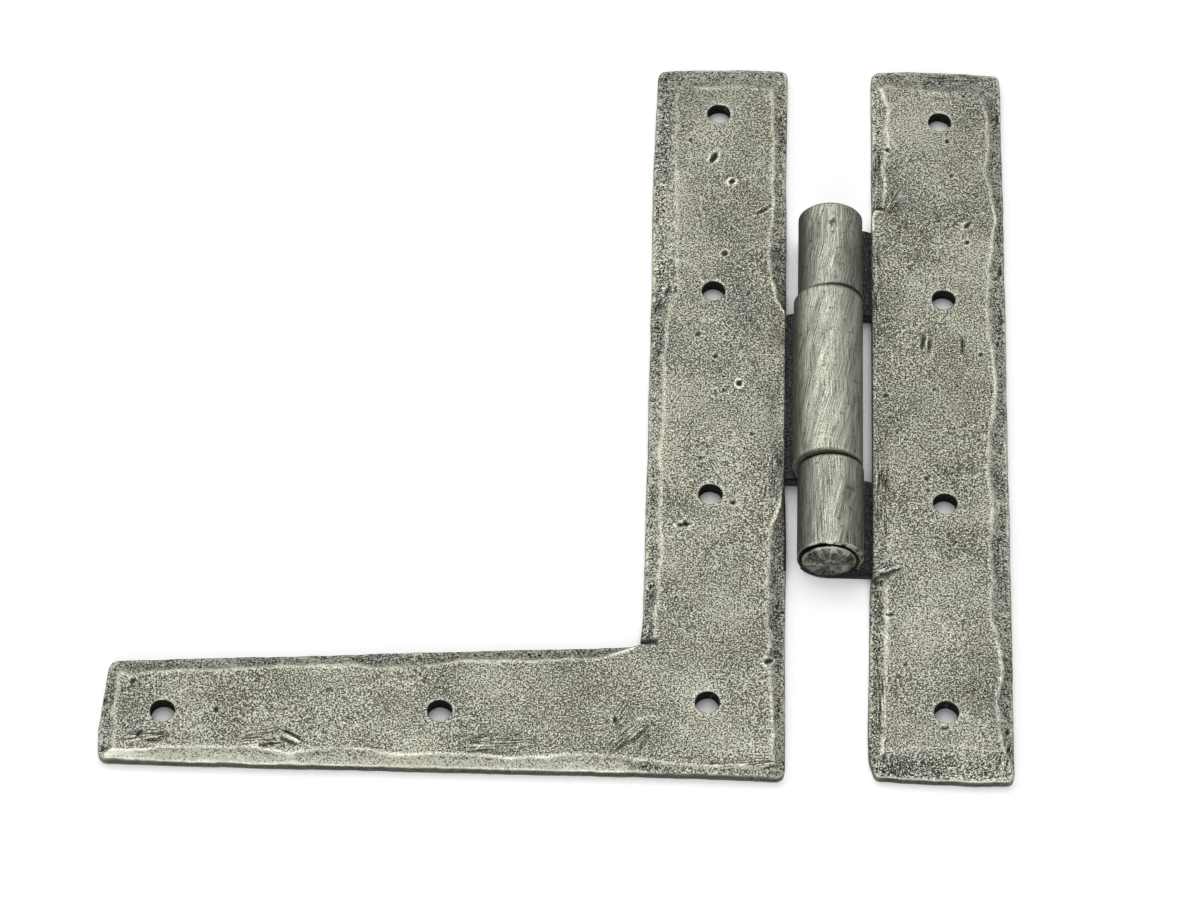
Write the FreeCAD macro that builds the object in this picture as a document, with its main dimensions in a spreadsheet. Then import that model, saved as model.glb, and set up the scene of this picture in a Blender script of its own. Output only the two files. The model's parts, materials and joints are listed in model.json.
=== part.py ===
# H-L hinge, hand forged from 4.3 mm plate, lying open on its back.
# Millimetres. +X from the foot's tip to the plain leaf, +Y up the leaves, +Z out of the front faces.
# The origin is the middle of the hinge's outline, on the plane of the backs.
import FreeCAD, Part
import os
import Sketcher

os.makedirs("parts", exist_ok=True)
doc = FreeCAD.newDocument("hinge")

# Driving sizes. "Reach" is measured sideways from the pin's axis, and "rise" up from the L leaf's foot.
SIZES = (
    ("plate", 4.3, "thickness of the plate"),
    ("edge_thickness", 2.9, "what the hammered bevels leave at the edges"),
    ("leaf_height", 228.6, "height of each leaf: nine inches"),
    ("plain_rise", 0.9, "how far the plain leaf stands above the L leaf"),
    ("leaf_reach", 48.6, "pin axis to the L leaf's outer edge"),
    ("plain_reach", 48.4, "pin axis to the plain leaf's outer edge"),
    ("foot_reach", 186.8, "pin axis to the foot's tip"),
    ("leaf_setback", 11.6, "pin axis to the leaves' inner edges, above the knuckles"),
    ("lower_setback", 10.8, "pin axis to the leaves' inner edges, below the knuckles"),
    ("foot_root_width", 37.9, "width of the foot where it leaves the leaf"),
    ("foot_tip_width", 29.2, "width of the foot at its tip"),
    ("side_bevel", 4.1, "usual width of the bevel along the long edges"),
    ("end_bevel", 8.2, "usual width of the bevel at the leaves' ends"),
    ("foot_bevel", 3.7, "usual width of the bevel round the foot"),
    ("corner", 2.0, "how much the hammer took off the corners"),
    ("hole_radius", 3.15, "radius of the screw holes: a quarter inch across"),
    ("l_hole_reach", 31.2, "pin axis to the L leaf's row of holes"),
    ("plain_hole_reach", 30.9, "pin axis to the plain leaf's row of holes"),
    ("top_hole_inset", 16.9, "top hole below the leaf's top"),
    ("bottom_hole_inset", 21.2, "bottom hole above the leaf's bottom"),
    ("middle_hole_spacing", 66.0, "between the two middle holes"),
    ("plain_hole_drop", 1.9, "how much lower the plain leaf's holes sit in their leaf"),
    ("foot_hole_inset", 16.2, "end hole of the foot in from the tip"),
    ("foot_hole_spacing", 71.1, "between the two holes of the foot"),
    ("knuckle_rise", 61.9, "lower end of the lowest knuckle"),
    ("side_knuckle", 28.1, "length of the upper and the lower knuckle"),
    ("middle_knuckle", 53.2, "length of the middle knuckle"),
    ("knuckle_gap", 0.35, "running gap between knuckles"),
    ("pin_radius", 4.5, "radius of the pin"),
    ("pin_clearance", 0.05, "radial play of the pin in the knuckles"),
    ("eye_swell", 0.6, "how much thicker the middle knuckle's roll is than the plate, at its sides"),
    ("lip_gap", 0.25, "slit between a rolled knuckle's lip and its own tab"),
    ("knuckle_chamfer", 0.6, "filed corner at the knuckles' ends"),
    ("head_radius", 7.1, "radius of the pin's peened heads"),
    ("head_rim", 0.7, "thickness of the peened heads at their rim"),
    ("head_height", 1.6, "height of the peened heads"),
    ("hand", 1.0, "unit of the small drifts that hand work left in the outlines"),
)

sheet = doc.addObject("Spreadsheet::Sheet", "sizes")
for row, (alias, number, meaning) in enumerate(SIZES, start=1):
    sheet.set("A%d" % row, str(number))
    sheet.setAlias("A%d" % row, alias)
    sheet.set("B%d" % row, meaning)
doc.recompute()


def size(alias):
    """One driving size, as an expression."""
    return "sizes." + alias


def number_of(expression):
    """The value that an expression has now."""
    return float(sheet.evalExpression(expression))


# Where things stand, as expressions of the driving sizes.
MIDDLE_FOOT = "(sizes.knuckle_rise + sizes.side_knuckle + sizes.knuckle_gap)"
MIDDLE_TOP = "(%s + sizes.middle_knuckle)" % MIDDLE_FOOT
UPPER_FOOT = "(%s + sizes.knuckle_gap)" % MIDDLE_TOP
KNUCKLE_TOP = "(%s + sizes.side_knuckle)" % UPPER_FOOT
KNUCKLE_MIDDLE = "(%s + sizes.middle_knuckle / 2)" % MIDDLE_FOOT
BORE_RADIUS = "(sizes.pin_radius + sizes.pin_clearance)"
AXIS_HEIGHT = "(sizes.plate + %s)" % BORE_RADIUS
PLAIN_TOP = "(sizes.leaf_height + sizes.plain_rise)"


def new_body(name):
    """An empty body, set down so that the hinge's outline is centred on the origin."""
    body = doc.addObject("PartDesign::Body", name)
    body.Label = name
    body.setExpression("Placement.Base.x", "(sizes.foot_reach - sizes.plain_reach) / 2")
    body.setExpression("Placement.Base.y", "-%s / 2" % PLAIN_TOP)
    return body


def plane_of(body, role):
    """One of the body's own origin planes."""
    return next(f for f in body.Origin.OriginFeatures if f.Role == role)


def new_sketch(body, name, role, offset):
    """A sketch on an origin plane, moved along the plane's normal by an expression."""
    sketch = body.newObject("Sketcher::SketchObject", name)
    sketch.AttachmentSupport = [(plane_of(body, role), "")]
    sketch.MapMode = "FlatFace"
    sketch.setExpression("AttachmentOffset.Base.z", offset)
    return sketch


def hold(sketch, kind, places, expression):
    """One dimension of a sketch, bound to an expression."""
    index = sketch.addConstraint(Sketcher.Constraint(kind, *places, number_of(expression)))
    sketch.setExpression("Constraints[%d]" % index, expression)


def hold_point(sketch, edge, end, x, y):
    """A sketch point's distances from the sketch's origin."""
    hold(sketch, "DistanceX", (-1, 1, edge, end), x)
    hold(sketch, "DistanceY", (-1, 1, edge, end), y)


def outline(body, name, height, corners):
    """A closed outline of straight hammered runs, parallel to the plate."""
    sketch = new_sketch(body, name, "XY_Plane", height)
    spots = [FreeCAD.Vector(number_of(x), number_of(y), 0) for x, y in corners]
    count = len(spots)
    runs = [Part.LineSegment(spots[i], spots[(i + 1) % count]) for i in range(count)]
    sketch.addGeometry(runs, False)
    sketch.addConstraint([Sketcher.Constraint("Coincident", i, 2, (i + 1) % count, 1) for i in range(count)])
    for i, (x, y) in enumerate(corners):
        hold_point(sketch, i, 1, x, y)
    return sketch


def forged_plate(body, stations):
    """The plate: square up to the edge's thickness, then in over the hammered bevel to the front face.

    Each station is a corner of the outline and the corner of the front face that belongs to it.
    """
    edge = outline(body, body.Name + "_outline", "0 * sizes.plate", [s[0] for s in stations])
    slab = body.newObject("PartDesign::Pad", body.Name + "_slab")
    slab.Profile = edge
    slab.setExpression("Length", size("edge_thickness"))
    low = outline(body, body.Name + "_bevel_foot", size("edge_thickness"), [s[0] for s in stations])
    high = outline(body, body.Name + "_bevel_head", size("plate"), [s[1] for s in stations])
    bevel = body.newObject("PartDesign::AdditiveLoft", body.Name + "_bevel")
    bevel.Profile = low
    bevel.Sections = [high]
    bevel.Ruled = True
    doc.recompute()
    return bevel


def screw_holes(body, spots):
    """Round holes, punched through the plate."""
    sketch = new_sketch(body, body.Name + "_holes", "XY_Plane", size("plate"))
    upright = FreeCAD.Vector(0, 0, 1)
    radius = number_of(size("hole_radius"))
    for x, y in spots:
        centre = FreeCAD.Vector(number_of(x), number_of(y), 0)
        index = sketch.addGeometry(Part.Circle(centre, upright, radius), False)
        hold_point(sketch, index, 3, x, y)
        hold(sketch, "Radius", (index,), size("hole_radius"))
    holes = body.newObject("PartDesign::Pocket", body.Name + "_screw_holes")
    holes.Profile = sketch
    holes.Type = "ThroughAll"
    doc.recompute()
    return holes


def rolled_knuckle(body, name, side, foot, length, outer_radius, lean, root):
    """A tab of the plate that runs under the pin and is rolled up and over it, back down to the tab.

    side is -1 for a tab that comes from the left and 1 for one from the right. lean moves the roll's
    outside sideways, as the smith left it. root is how far from the axis the tab starts.
    """
    sketch = new_sketch(body, name + "_section", "XZ_Plane", "-(%s + %s)" % (foot, length))
    root_x = "%d * (%s)" % (side, root)
    lip_height = "(sizes.plate + sizes.lip_gap)"
    ro = number_of(outer_radius)
    ri = number_of(BORE_RADIUS)
    plate = number_of(size("plate"))
    lean_now = number_of(lean)
    lip_now = number_of(lip_height)
    root_now = number_of(root_x)
    axis_now = number_of(AXIS_HEIGHT)
    vector = FreeCAD.Vector
    # The lip's outer corner, and its inner corner on the bore's way to the axis.
    lip_out = vector(lean_now + side * (ro * ro - (ro - lip_now) ** 2) ** 0.5, lip_now, 0)
    towards = (lip_out - vector(0, axis_now, 0)).normalize()
    lip_in = vector(0, axis_now, 0) + towards * ri
    far_out = vector(lean_now - side * ro, ro, 0)
    far_in = vector(-side * ri, axis_now, 0)
    shapes = [
        Part.LineSegment(vector(root_now, 0, 0), vector(lean_now, 0, 0)),
        Part.Arc(vector(lean_now, 0, 0), far_out, lip_out),
        Part.LineSegment(lip_out, lip_in),
        Part.Arc(lip_in, far_in, vector(0, plate, 0)),
        Part.LineSegment(vector(0, plate, 0), vector(root_now, plate, 0)),
        Part.LineSegment(vector(root_now, plate, 0), vector(root_now, 0, 0)),
    ]
    sketch.addGeometry(shapes, False)
    # A right-hand tab's arcs run the other way round, so their ends change places.
    first, last = (1, 2) if side < 0 else (2, 1)
    joints = (
        ("Coincident", 0, 2, 1, first),
        ("Coincident", 1, last, 2, 1),
        ("Coincident", 2, 2, 3, last),
        ("Coincident", 3, first, 4, 1),
        ("Coincident", 4, 2, 5, 1),
        ("Coincident", 5, 2, 0, 1),
        ("Horizontal", 4),
        ("Vertical", 5),
        ("PointOnObject", 3, 3, 2),
    )
    sketch.addConstraint([Sketcher.Constraint(*joint) for joint in joints])
    hold_point(sketch, 0, 1, root_x, "0 * sizes.plate")
    hold_point(sketch, 1, 3, lean, outer_radius)
    hold(sketch, "Radius", (1,), outer_radius)
    sketch.addConstraint(Sketcher.Constraint("Vertical", 1, first, 1, 3))
    sketch.addConstraint(Sketcher.Constraint("Vertical", 3, first, 3, 3))
    hold_point(sketch, 3, 3, "0 * sizes.plate", AXIS_HEIGHT)
    hold(sketch, "Radius", (3,), BORE_RADIUS)
    hold(sketch, "DistanceY", (-1, 1, 1, last), lip_height)
    doc.recompute()
    roll = body.newObject("PartDesign::Pad", name + "_roll")
    roll.Profile = sketch
    roll.setExpression("Length", length)
    doc.recompute()
    ends = (number_of(foot), number_of("%s + %s" % (foot, length)))
    rims = []
    for index, edge in enumerate(roll.Shape.Edges, start=1):
        round_edge = isinstance(edge.Curve, Part.Circle) and abs(edge.Curve.Radius - ro) < 0.001
        if round_edge and min(abs(edge.CenterOfMass.y - end) for end in ends) < 0.01:
            rims.append("Edge%d" % index)
    filed = body.newObject("PartDesign::Chamfer", name + "_filed_ends")
    filed.Base = (roll, rims)
    filed.setExpression("Size", size("knuckle_chamfer"))
    doc.recompute()
    return filed


def between(low, high, share):
    """The place that lies a share of the way from one expression to another."""
    return "(%s + (%s - %s) * %s)" % (low, high, low, share)


def hand(drift):
    """A small drift of hand work, as an expression."""
    return "(%s * sizes.hand)" % drift


def nudged(expression, drift):
    """An expression with another one, or a small drift of hand work, added."""
    return "(%s + %s)" % (expression, drift if isinstance(drift, str) else hand(drift))


def eased(first, second, end_first):
    """The station in the middle of a rounded corner, between the stations on either side of it.

    end_first tells whether the first one lies on an end, and the second one on a long side.
    """
    (x1, y1), (ridge_x1, ridge_y1) = first
    (x2, y2), (ridge_x2, ridge_y2) = second
    share_x, share_y = (0.707, 0.293) if end_first else (0.293, 0.707)
    ridge = (between(ridge_x1, ridge_x2, 0.5), between(ridge_y1, ridge_y2, 0.5))
    return ((between(x1, x2, share_x), between(y1, y2, share_y)), ridge)


def upright_edge(side, reach, foot, top, marks):
    """Stations up a leaf's long edge: share of the way up, drift of the edge, drift of the bevel's width."""
    stations = []
    for share, drift, extra in marks:
        edge = "%d * (%s + %s)" % (side, reach, hand(drift))
        inward = -side if reach in (size("leaf_reach"), size("plain_reach")) else side
        ridge = "(%s + %d * (%s + %s))" % (edge, inward, size("side_bevel"), hand(extra))
        height = between(foot, top, share)
        stations.append(((edge, height), (ridge, height)))
    return stations


def square_edge(side, foot, top):
    """Stations beside a knuckle's tab, where the edge isn't bevelled."""
    edge = "%d * sizes.leaf_setback" % side
    return [((edge, height), (edge, height)) for height in (foot, top)]


# L leaf
# The outline is walked anticlockwise from the lower corner of the foot's tip.
def foot_edge(share, drift, extra, upper):
    """A station along the foot, at a share of the way from the leaf to the tip."""
    along = "-%s" % between(size("leaf_reach"), size("foot_reach"), share)
    if upper:
        edge = nudged(between(size("foot_root_width"), size("foot_tip_width"), share), drift)
        ridge = "(%s - sizes.foot_bevel - %s)" % (edge, hand(extra))
    else:
        edge = hand(drift)
        ridge = "(%s + sizes.foot_bevel + %s)" % (edge, hand(extra))
    return ((along, edge), (along, ridge))


FOOT_LOWER_MARKS = (
    (0.985, 0.15, -2.3), (0.945, 0.1, -1.9), (0.84, 0.05, -0.3), (0.73, 0.0, 0.4), (0.64, 0.1, -1.3),
    (0.545, 0.2, 0.9), (0.43, 0.25, -0.8), (0.355, 0.3, 0.0), (0.23, 0.35, -1.2), (0.1, 0.5, 0.6),
    (0.03, 0.55, 0.1),
)
FOOT_UPPER_MARKS = (
    (0.08, 0.0, 0.5), (0.25, 0.1, 0.6), (0.34, 0.0, -0.1), (0.41, 0.1, 1.7), (0.5, 0.1, 1.3),
    (0.53, 0.0, 0.4), (0.67, -0.1, 0.0), (0.74, 0.1, 0.7), (0.88, 0.1, 0.7), (0.94, 0.0, 1.3),
)
l_leaf_stations = [foot_edge(share, drift, extra, False) for share, drift, extra in FOOT_LOWER_MARKS]
leaf_left = "-sizes.leaf_reach"
lower_right = "-sizes.lower_setback"
upper_right = "-sizes.leaf_setback"
bottom_ridge = nudged(size("foot_bevel"), -1.4)
heel_end = (
    (nudged(lower_right, "-sizes.corner"), hand(0.3)),
    (nudged(nudged(lower_right, "-sizes.side_bevel"), 0.6), nudged(bottom_ridge, 0.2)),
)
heel_side = (
    (nudged(lower_right, 0.15), "sizes.corner"),
    (nudged(nudged(lower_right, "-sizes.side_bevel"), 1.3), "sizes.foot_bevel"),
)
l_leaf_stations += [
    ((between(leaf_left, lower_right, 0.33), hand(0.6)),
     (between(leaf_left, lower_right, 0.33), bottom_ridge)),
    ((between(leaf_left, lower_right, 0.7), hand(0.35)),
     (between(leaf_left, lower_right, 0.68), bottom_ridge)),
    heel_end,
    eased(heel_end, heel_side, True),
    heel_side,
]
l_leaf_stations += upright_edge(-1, size("lower_setback"), "0 * sizes.plate", MIDDLE_FOOT, (
    (0.17, -0.1, -0.8), (0.27, 0.0, -0.4), (0.345, 0.05, 0.1), (0.376, 0.1, 1.3), (0.42, 0.1, -0.1),
    (0.54, 0.15, 0.6), (0.65, 0.1, 0.6), (0.78, 0.1, 0.7), (0.82, 0.2, -0.1), (0.9, 0.35, -2.7),
))
l_leaf_stations += square_edge(-1, nudged(MIDDLE_FOOT, -0.6), nudged(MIDDLE_TOP, 0.2))
l_leaf_stations += upright_edge(-1, size("leaf_setback"), MIDDLE_TOP, size("leaf_height"), (
    (0.055, -0.1, -1.3), (0.14, 0.1, 0.1), (0.25, 0.05, 1.0), (0.39, 0.0, -0.3), (0.5, 0.3, -0.5),
    (0.65, 0.25, -0.4), (0.8, 0.15, 0.1),
))
l_top = size("leaf_height")
l_top_ridge = nudged(l_top, "-sizes.end_bevel")
top_side = (
    (nudged(upper_right, -0.1), nudged(l_top, "-sizes.corner")),
    (nudged(nudged(upper_right, "-sizes.side_bevel"), -0.6), l_top_ridge),
)
top_end = (
    (nudged(upper_right, "-sizes.corner"), nudged(l_top, -0.1)),
    (nudged(nudged(upper_right, "-sizes.side_bevel"), -2.2), nudged(l_top_ridge, 0.6)),
)
far_end = (
    (nudged(nudged(leaf_left, "sizes.corner"), 0.5), nudged(l_top, -1.0)),
    (nudged(nudged(leaf_left, "sizes.side_bevel"), 2.4), nudged(l_top_ridge, -0.4)),
)
far_side = (
    (nudged(leaf_left, -0.1), nudged(nudged(l_top, "-sizes.corner"), -1.2)),
    (nudged(nudged(leaf_left, "sizes.side_bevel"), 1.2), nudged(l_top_ridge, -3.0)),
)
l_leaf_stations += [
    top_side,
    eased(top_side, top_end, False),
    top_end,
    ((between(leaf_left, upper_right, 0.62), l_top),
     (between(leaf_left, upper_right, 0.6), nudged(l_top_ridge, 1.4))),
    ((between(leaf_left, upper_right, 0.32), nudged(l_top, -0.4)),
     (between(leaf_left, upper_right, 0.36), nudged(l_top_ridge, 0.3))),
    far_end,
    eased(far_end, far_side, True),
    far_side,
]
l_leaf_stations += upright_edge(-1, size("leaf_reach"), size("foot_root_width"), size("leaf_height"), (
    (0.87, 0.3, 1.8), (0.8, 0.6, 2.2), (0.68, 0.3, 2.6), (0.59, 0.0, 3.3), (0.56, 0.0, 1.2), (0.51, 0.0, 0.0),
    (0.465, -0.1, -0.4), (0.38, -0.1, 0.2), (0.305, -0.3, -1.0), (0.275, -0.2, -0.2), (0.2, -0.2, -0.2),
    (0.155, -0.3, 0.4), (0.1, -0.4, -0.2), (0.05, -0.4, -1.1),
))
# The leaf's bevel stops in a step just above the foot, and the foot's own bevel starts from nothing.
root_corner = (nudged(leaf_left, 0.2), size("foot_root_width"))
root_step = nudged(size("foot_root_width"), 0.3)
l_leaf_stations += [
    ((nudged(leaf_left, -0.1), root_step), (nudged(leaf_left, 3.3), root_step)),
    (root_corner, root_corner),
]
l_leaf_stations += [foot_edge(share, drift, extra, True) for share, drift, extra in FOOT_UPPER_MARKS]
tip = "-sizes.foot_reach"
tip_ridge = nudged(nudged(tip, "sizes.foot_bevel"), 0.5)
tip_width = size("foot_tip_width")
tip_high = (
    (nudged(nudged(tip, "sizes.corner"), 0.8), nudged(tip_width, 0.1)),
    (nudged(tip_ridge, 0.9), nudged(nudged(tip_width, "-sizes.foot_bevel"), -0.6)),
)
tip_upper = (
    (nudged(tip, 0.9), nudged(tip_width, "-sizes.corner")),
    (tip_ridge, nudged(nudged(tip_width, "-sizes.foot_bevel"), -2.0)),
)
tip_lower = (
    (nudged(tip, 0.5), nudged("sizes.corner", 0.6)),
    (nudged(tip_ridge, 0.6), nudged("sizes.corner", 1.1)),
)
l_leaf_stations += [
    tip_high,
    eased(tip_high, tip_upper, True),
    tip_upper,
    ((nudged(tip, 0.3), "sizes.foot_tip_width * 0.55"),
     (nudged(tip_ridge, -0.6), "sizes.foot_tip_width * 0.52")),
    ((tip, "sizes.foot_tip_width * 0.3"), (nudged(tip_ridge, 0.3), "sizes.foot_tip_width * 0.3")),
    tip_lower,
    eased(tip_lower, l_leaf_stations[0], False),
]

l_leaf = new_body("l_leaf")
forged_plate(l_leaf, l_leaf_stations)

# How far each punched hole strays from its row: sideways for the leaves, top hole first.
L_PUNCH_DRIFT = (0.06, -0.39, -0.04, 0.34)
PLAIN_PUNCH_DRIFT = (0.02, 0.4, 0.05, -0.4)


def row_of_holes(reach, drifts, rise, drop):
    """The four holes up a leaf."""
    middle = nudged(KNUCKLE_MIDDLE, 0.6)
    heights = (
        "(sizes.leaf_height + %s - sizes.top_hole_inset - %s)" % (rise, drop),
        "(%s + sizes.middle_hole_spacing / 2 + %s - %s)" % (middle, rise, drop),
        "(%s - sizes.middle_hole_spacing / 2 + %s - %s)" % (middle, rise, drop),
        "(sizes.bottom_hole_inset + %s - %s)" % (rise, drop),
    )
    return [(nudged(reach, drift), height) for drift, height in zip(drifts, heights)]


def foot_hole(inset):
    """A hole on the foot's middle line, inset from the tip."""
    share = "((sizes.foot_reach - %s - sizes.leaf_reach) / (sizes.foot_reach - sizes.leaf_reach))" % inset
    width = between(size("foot_root_width"), size("foot_tip_width"), share)
    return ("-(sizes.foot_reach - %s)" % inset, nudged("%s / 2" % width, -0.9))


l_holes = row_of_holes("-sizes.l_hole_reach", L_PUNCH_DRIFT, "0", "0")
far_inset = nudged(size("foot_hole_inset"), size("foot_hole_spacing"))
l_holes += [foot_hole(size("foot_hole_inset")), foot_hole(far_inset)]
screw_holes(l_leaf, l_holes)
rolled_knuckle(
    l_leaf, "middle_knuckle", -1, MIDDLE_FOOT, size("middle_knuckle"),
    "(sizes.plate + sizes.eye_swell + %s)" % BORE_RADIUS,
    hand(-0.45), "sizes.leaf_setback + sizes.side_bevel",
)

# Plain leaf
plain_leaf = new_body("plain_leaf")
plain_foot = size("plain_rise")
plain_edge = size("plain_reach")
inner_low = size("lower_setback")
inner_high = size("leaf_setback")
plain_bottom_ridge = nudged(nudged(plain_foot, "sizes.end_bevel"), 0.5)
plain_top_ridge = nudged(PLAIN_TOP, "-sizes.end_bevel")
low_end = (
    (nudged(nudged(plain_edge, "-sizes.corner"), -0.6), plain_foot),
    (nudged(nudged(plain_edge, "-sizes.side_bevel"), -1.2), nudged(plain_bottom_ridge, -0.4)),
)
low_side = (
    (nudged(plain_edge, -0.6), nudged(nudged(plain_foot, "sizes.corner"), -0.3)),
    (nudged(nudged(plain_edge, "-sizes.side_bevel"), 0.7), nudged(plain_bottom_ridge, 0.9)),
)
plain_stations = [
    ((nudged(nudged(inner_low, "sizes.corner"), -0.6), nudged(plain_foot, 0.4)),
     (nudged(nudged(inner_low, "sizes.side_bevel"), 0.4), nudged(plain_bottom_ridge, -1.2))),
    ((between(inner_low, plain_edge, 0.3), plain_foot),
     (between(inner_low, plain_edge, 0.35), plain_bottom_ridge)),
    ((between(inner_low, plain_edge, 0.66), nudged(plain_foot, -0.3)),
     (between(inner_low, plain_edge, 0.6), nudged(plain_bottom_ridge, 0.6))),
    low_end,
    eased(low_end, low_side, True),
    low_side,
]
plain_stations += upright_edge(1, plain_edge, plain_foot, PLAIN_TOP, (
    (0.065, -0.6, -0.1), (0.1, -0.6, 0.1), (0.132, -0.5, -0.8), (0.165, -0.4, -0.7), (0.183, -0.4, 0.3),
    (0.21, -0.4, 1.4), (0.27, -0.4, 1.2), (0.315, -0.3, 1.4), (0.35, -0.3, 0.4), (0.385, -0.4, 0.7),
    (0.415, -0.4, 1.2), (0.465, -0.3, 0.9), (0.49, -0.3, -0.4), (0.55, -0.2, -1.1), (0.605, 0.0, 1.0),
    (0.7, -0.1, 0.6), (0.775, 0.0, -1.8), (0.81, 0.0, -0.6), (0.845, -0.1, 0.5), (0.885, -0.2, -0.2),
    (0.93, -0.1, -0.2),
))
high_side = (
    (nudged(plain_edge, -0.1), nudged(nudged(PLAIN_TOP, "-sizes.corner"), -0.3)),
    (nudged(nudged(plain_edge, "-sizes.side_bevel"), -1.6), nudged(plain_top_ridge, -2.4)),
)
high_end = (
    (nudged(plain_edge, "-sizes.corner"), nudged(PLAIN_TOP, -0.7)),
    (nudged(nudged(plain_edge, "-sizes.side_bevel"), -3.2), nudged(plain_top_ridge, -0.4)),
)
near_end = (
    (nudged(inner_high, "sizes.corner"), nudged(PLAIN_TOP, -0.6)),
    (nudged(nudged(inner_high, "sizes.side_bevel"), 0.2), nudged(plain_top_ridge, 1.8)),
)
near_side = (
    (inner_high, nudged(nudged(PLAIN_TOP, "-sizes.corner"), -0.8)),
    (nudged(nudged(inner_high, "sizes.side_bevel"), -1.2), nudged(plain_top_ridge, -0.2)),
)
plain_stations += [
    high_side,
    eased(high_side, high_end, False),
    high_end,
    ((between(inner_high, plain_edge, 0.55), nudged(PLAIN_TOP, -0.1)),
     (between(inner_high, plain_edge, 0.5), plain_top_ridge)),
    ((between(inner_high, plain_edge, 0.28), PLAIN_TOP),
     (between(inner_high, plain_edge, 0.3), nudged(plain_top_ridge, 0.7))),
    near_end,
    eased(near_end, near_side, True),
    near_side,
]
# The bevel above the knuckles stops in a small step, where the blows for it ended.
plain_stations += upright_edge(1, inner_high, KNUCKLE_TOP, PLAIN_TOP, (
    (0.75, 0.0, 0.4), (0.52, 0.1, 0.3), (0.36, 0.0, -0.6), (0.18, 0.1, -0.9), (0.146, 0.1, -0.9),
    (0.137, 0.15, -3.2),
))
plain_stations += square_edge(1, nudged(KNUCKLE_TOP, hand(4.6)), nudged("sizes.knuckle_rise", 0.6))
plain_stations += upright_edge(1, inner_low, plain_foot, "sizes.knuckle_rise", (
    (0.94, 0.2, -0.5), (0.9, 0.1, 0.3), (0.79, 0.0, 0.2), (0.58, -0.1, 0.3), (0.34, -0.4, -0.1),
    (0.215, -0.5, 0.1), (0.09, -0.3, -1.2),
))
forged_plate(plain_leaf, plain_stations)
plain_holes = row_of_holes(
    size("plain_hole_reach"), PLAIN_PUNCH_DRIFT, size("plain_rise"), size("plain_hole_drop"),
)
screw_holes(plain_leaf, plain_holes)
side_eye = "(sizes.plate + %s)" % BORE_RADIUS
tab_root = "sizes.leaf_setback + sizes.side_bevel"
rolled_knuckle(
    plain_leaf, "upper_knuckle", 1, UPPER_FOOT, size("side_knuckle"), side_eye, hand(0.1), tab_root,
)
rolled_knuckle(
    plain_leaf, "lower_knuckle", 1, size("knuckle_rise"), size("side_knuckle"), side_eye, hand(0.4), tab_root,
)

# Hinge pin
# A round bar with both ends hammered over into low domes that seat on the knuckles' ends.
hinge_pin = new_body("hinge_pin")
hinge_pin.setExpression("Placement.Base.z", AXIS_HEIGHT)
profile = new_sketch(hinge_pin, "pin_profile", "XY_Plane", "0 * sizes.plate")


def pin_outline():
    """Half the pin's section, from the lower dome's crown to the upper one's."""
    shaft, head, rim = size("pin_radius"), size("head_radius"), size("head_rim")
    low, high = size("knuckle_rise"), KNUCKLE_TOP
    return (
        ("0 * sizes.plate", "(%s - sizes.head_height)" % low),
        ("(%s * 0.72)" % head, "(%s - (sizes.head_height + %s) / 2 - 0.1)" % (low, rim)),
        (head, "(%s - %s)" % (low, rim)),
        (head, low),
        (shaft, low),
        (shaft, high),
        (head, high),
        (head, "(%s + %s)" % (high, rim)),
        ("(%s * 0.72)" % head, "(%s + (sizes.head_height + %s) / 2 + 0.1)" % (high, rim)),
        ("0 * sizes.plate", "(%s + sizes.head_height)" % high),
    )


pin_corners = pin_outline()
pin_spots = [FreeCAD.Vector(number_of(x), number_of(y), 0) for x, y in pin_corners]
pin_count = len(pin_spots)
pin_runs = [Part.LineSegment(pin_spots[i], pin_spots[(i + 1) % pin_count]) for i in range(pin_count)]
profile.addGeometry(pin_runs, False)
profile.addConstraint(
    [Sketcher.Constraint("Coincident", i, 2, (i + 1) % pin_count, 1) for i in range(pin_count)]
)
for i, (x, y) in enumerate(pin_corners):
    hold_point(profile, i, 1, x, y)
turned = hinge_pin.newObject("PartDesign::Revolution", "pin_bar")
turned.Profile = profile
turned.ReferenceAxis = (profile, ["V_Axis"])
turned.Angle = 360
doc.recompute()

# Every object has to be sound before anything is written.
doc.recompute()
for item in doc.Objects:
    if "Invalid" in item.State or "Error" in item.State:
        raise RuntimeError("%s failed: %s" % (item.Name, item.State))
pieces = (l_leaf, plain_leaf, hinge_pin)
for piece in pieces:
    if piece.Shape.isNull() or not piece.Shape.isValid() or len(piece.Shape.Solids) != 1:
        raise RuntimeError("%s isn't one sound solid" % piece.Label)
for piece in pieces:
    piece.Shape.exportStep("parts/%s.step" % piece.Label)
    box = piece.Shape.BoundBox
    print(piece.Label, "volume %.0f" % piece.Shape.Volume, "x %.2f %.2f y %.2f %.2f z %.2f %.2f" % (
        box.XMin, box.XMax, box.YMin, box.YMax, box.ZMin, box.ZMax))
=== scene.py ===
# The looks of a hand-forged H-L hinge: hammered plates, rolled knuckles, a peened pin and a pewter-grey patina.
import json
import math

import bpy
import numpy as np
from mathutils import Matrix, Vector
from mathutils.bvhtree import BVHTree
from mathutils.geometry import delaunay_2d_cdt


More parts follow.
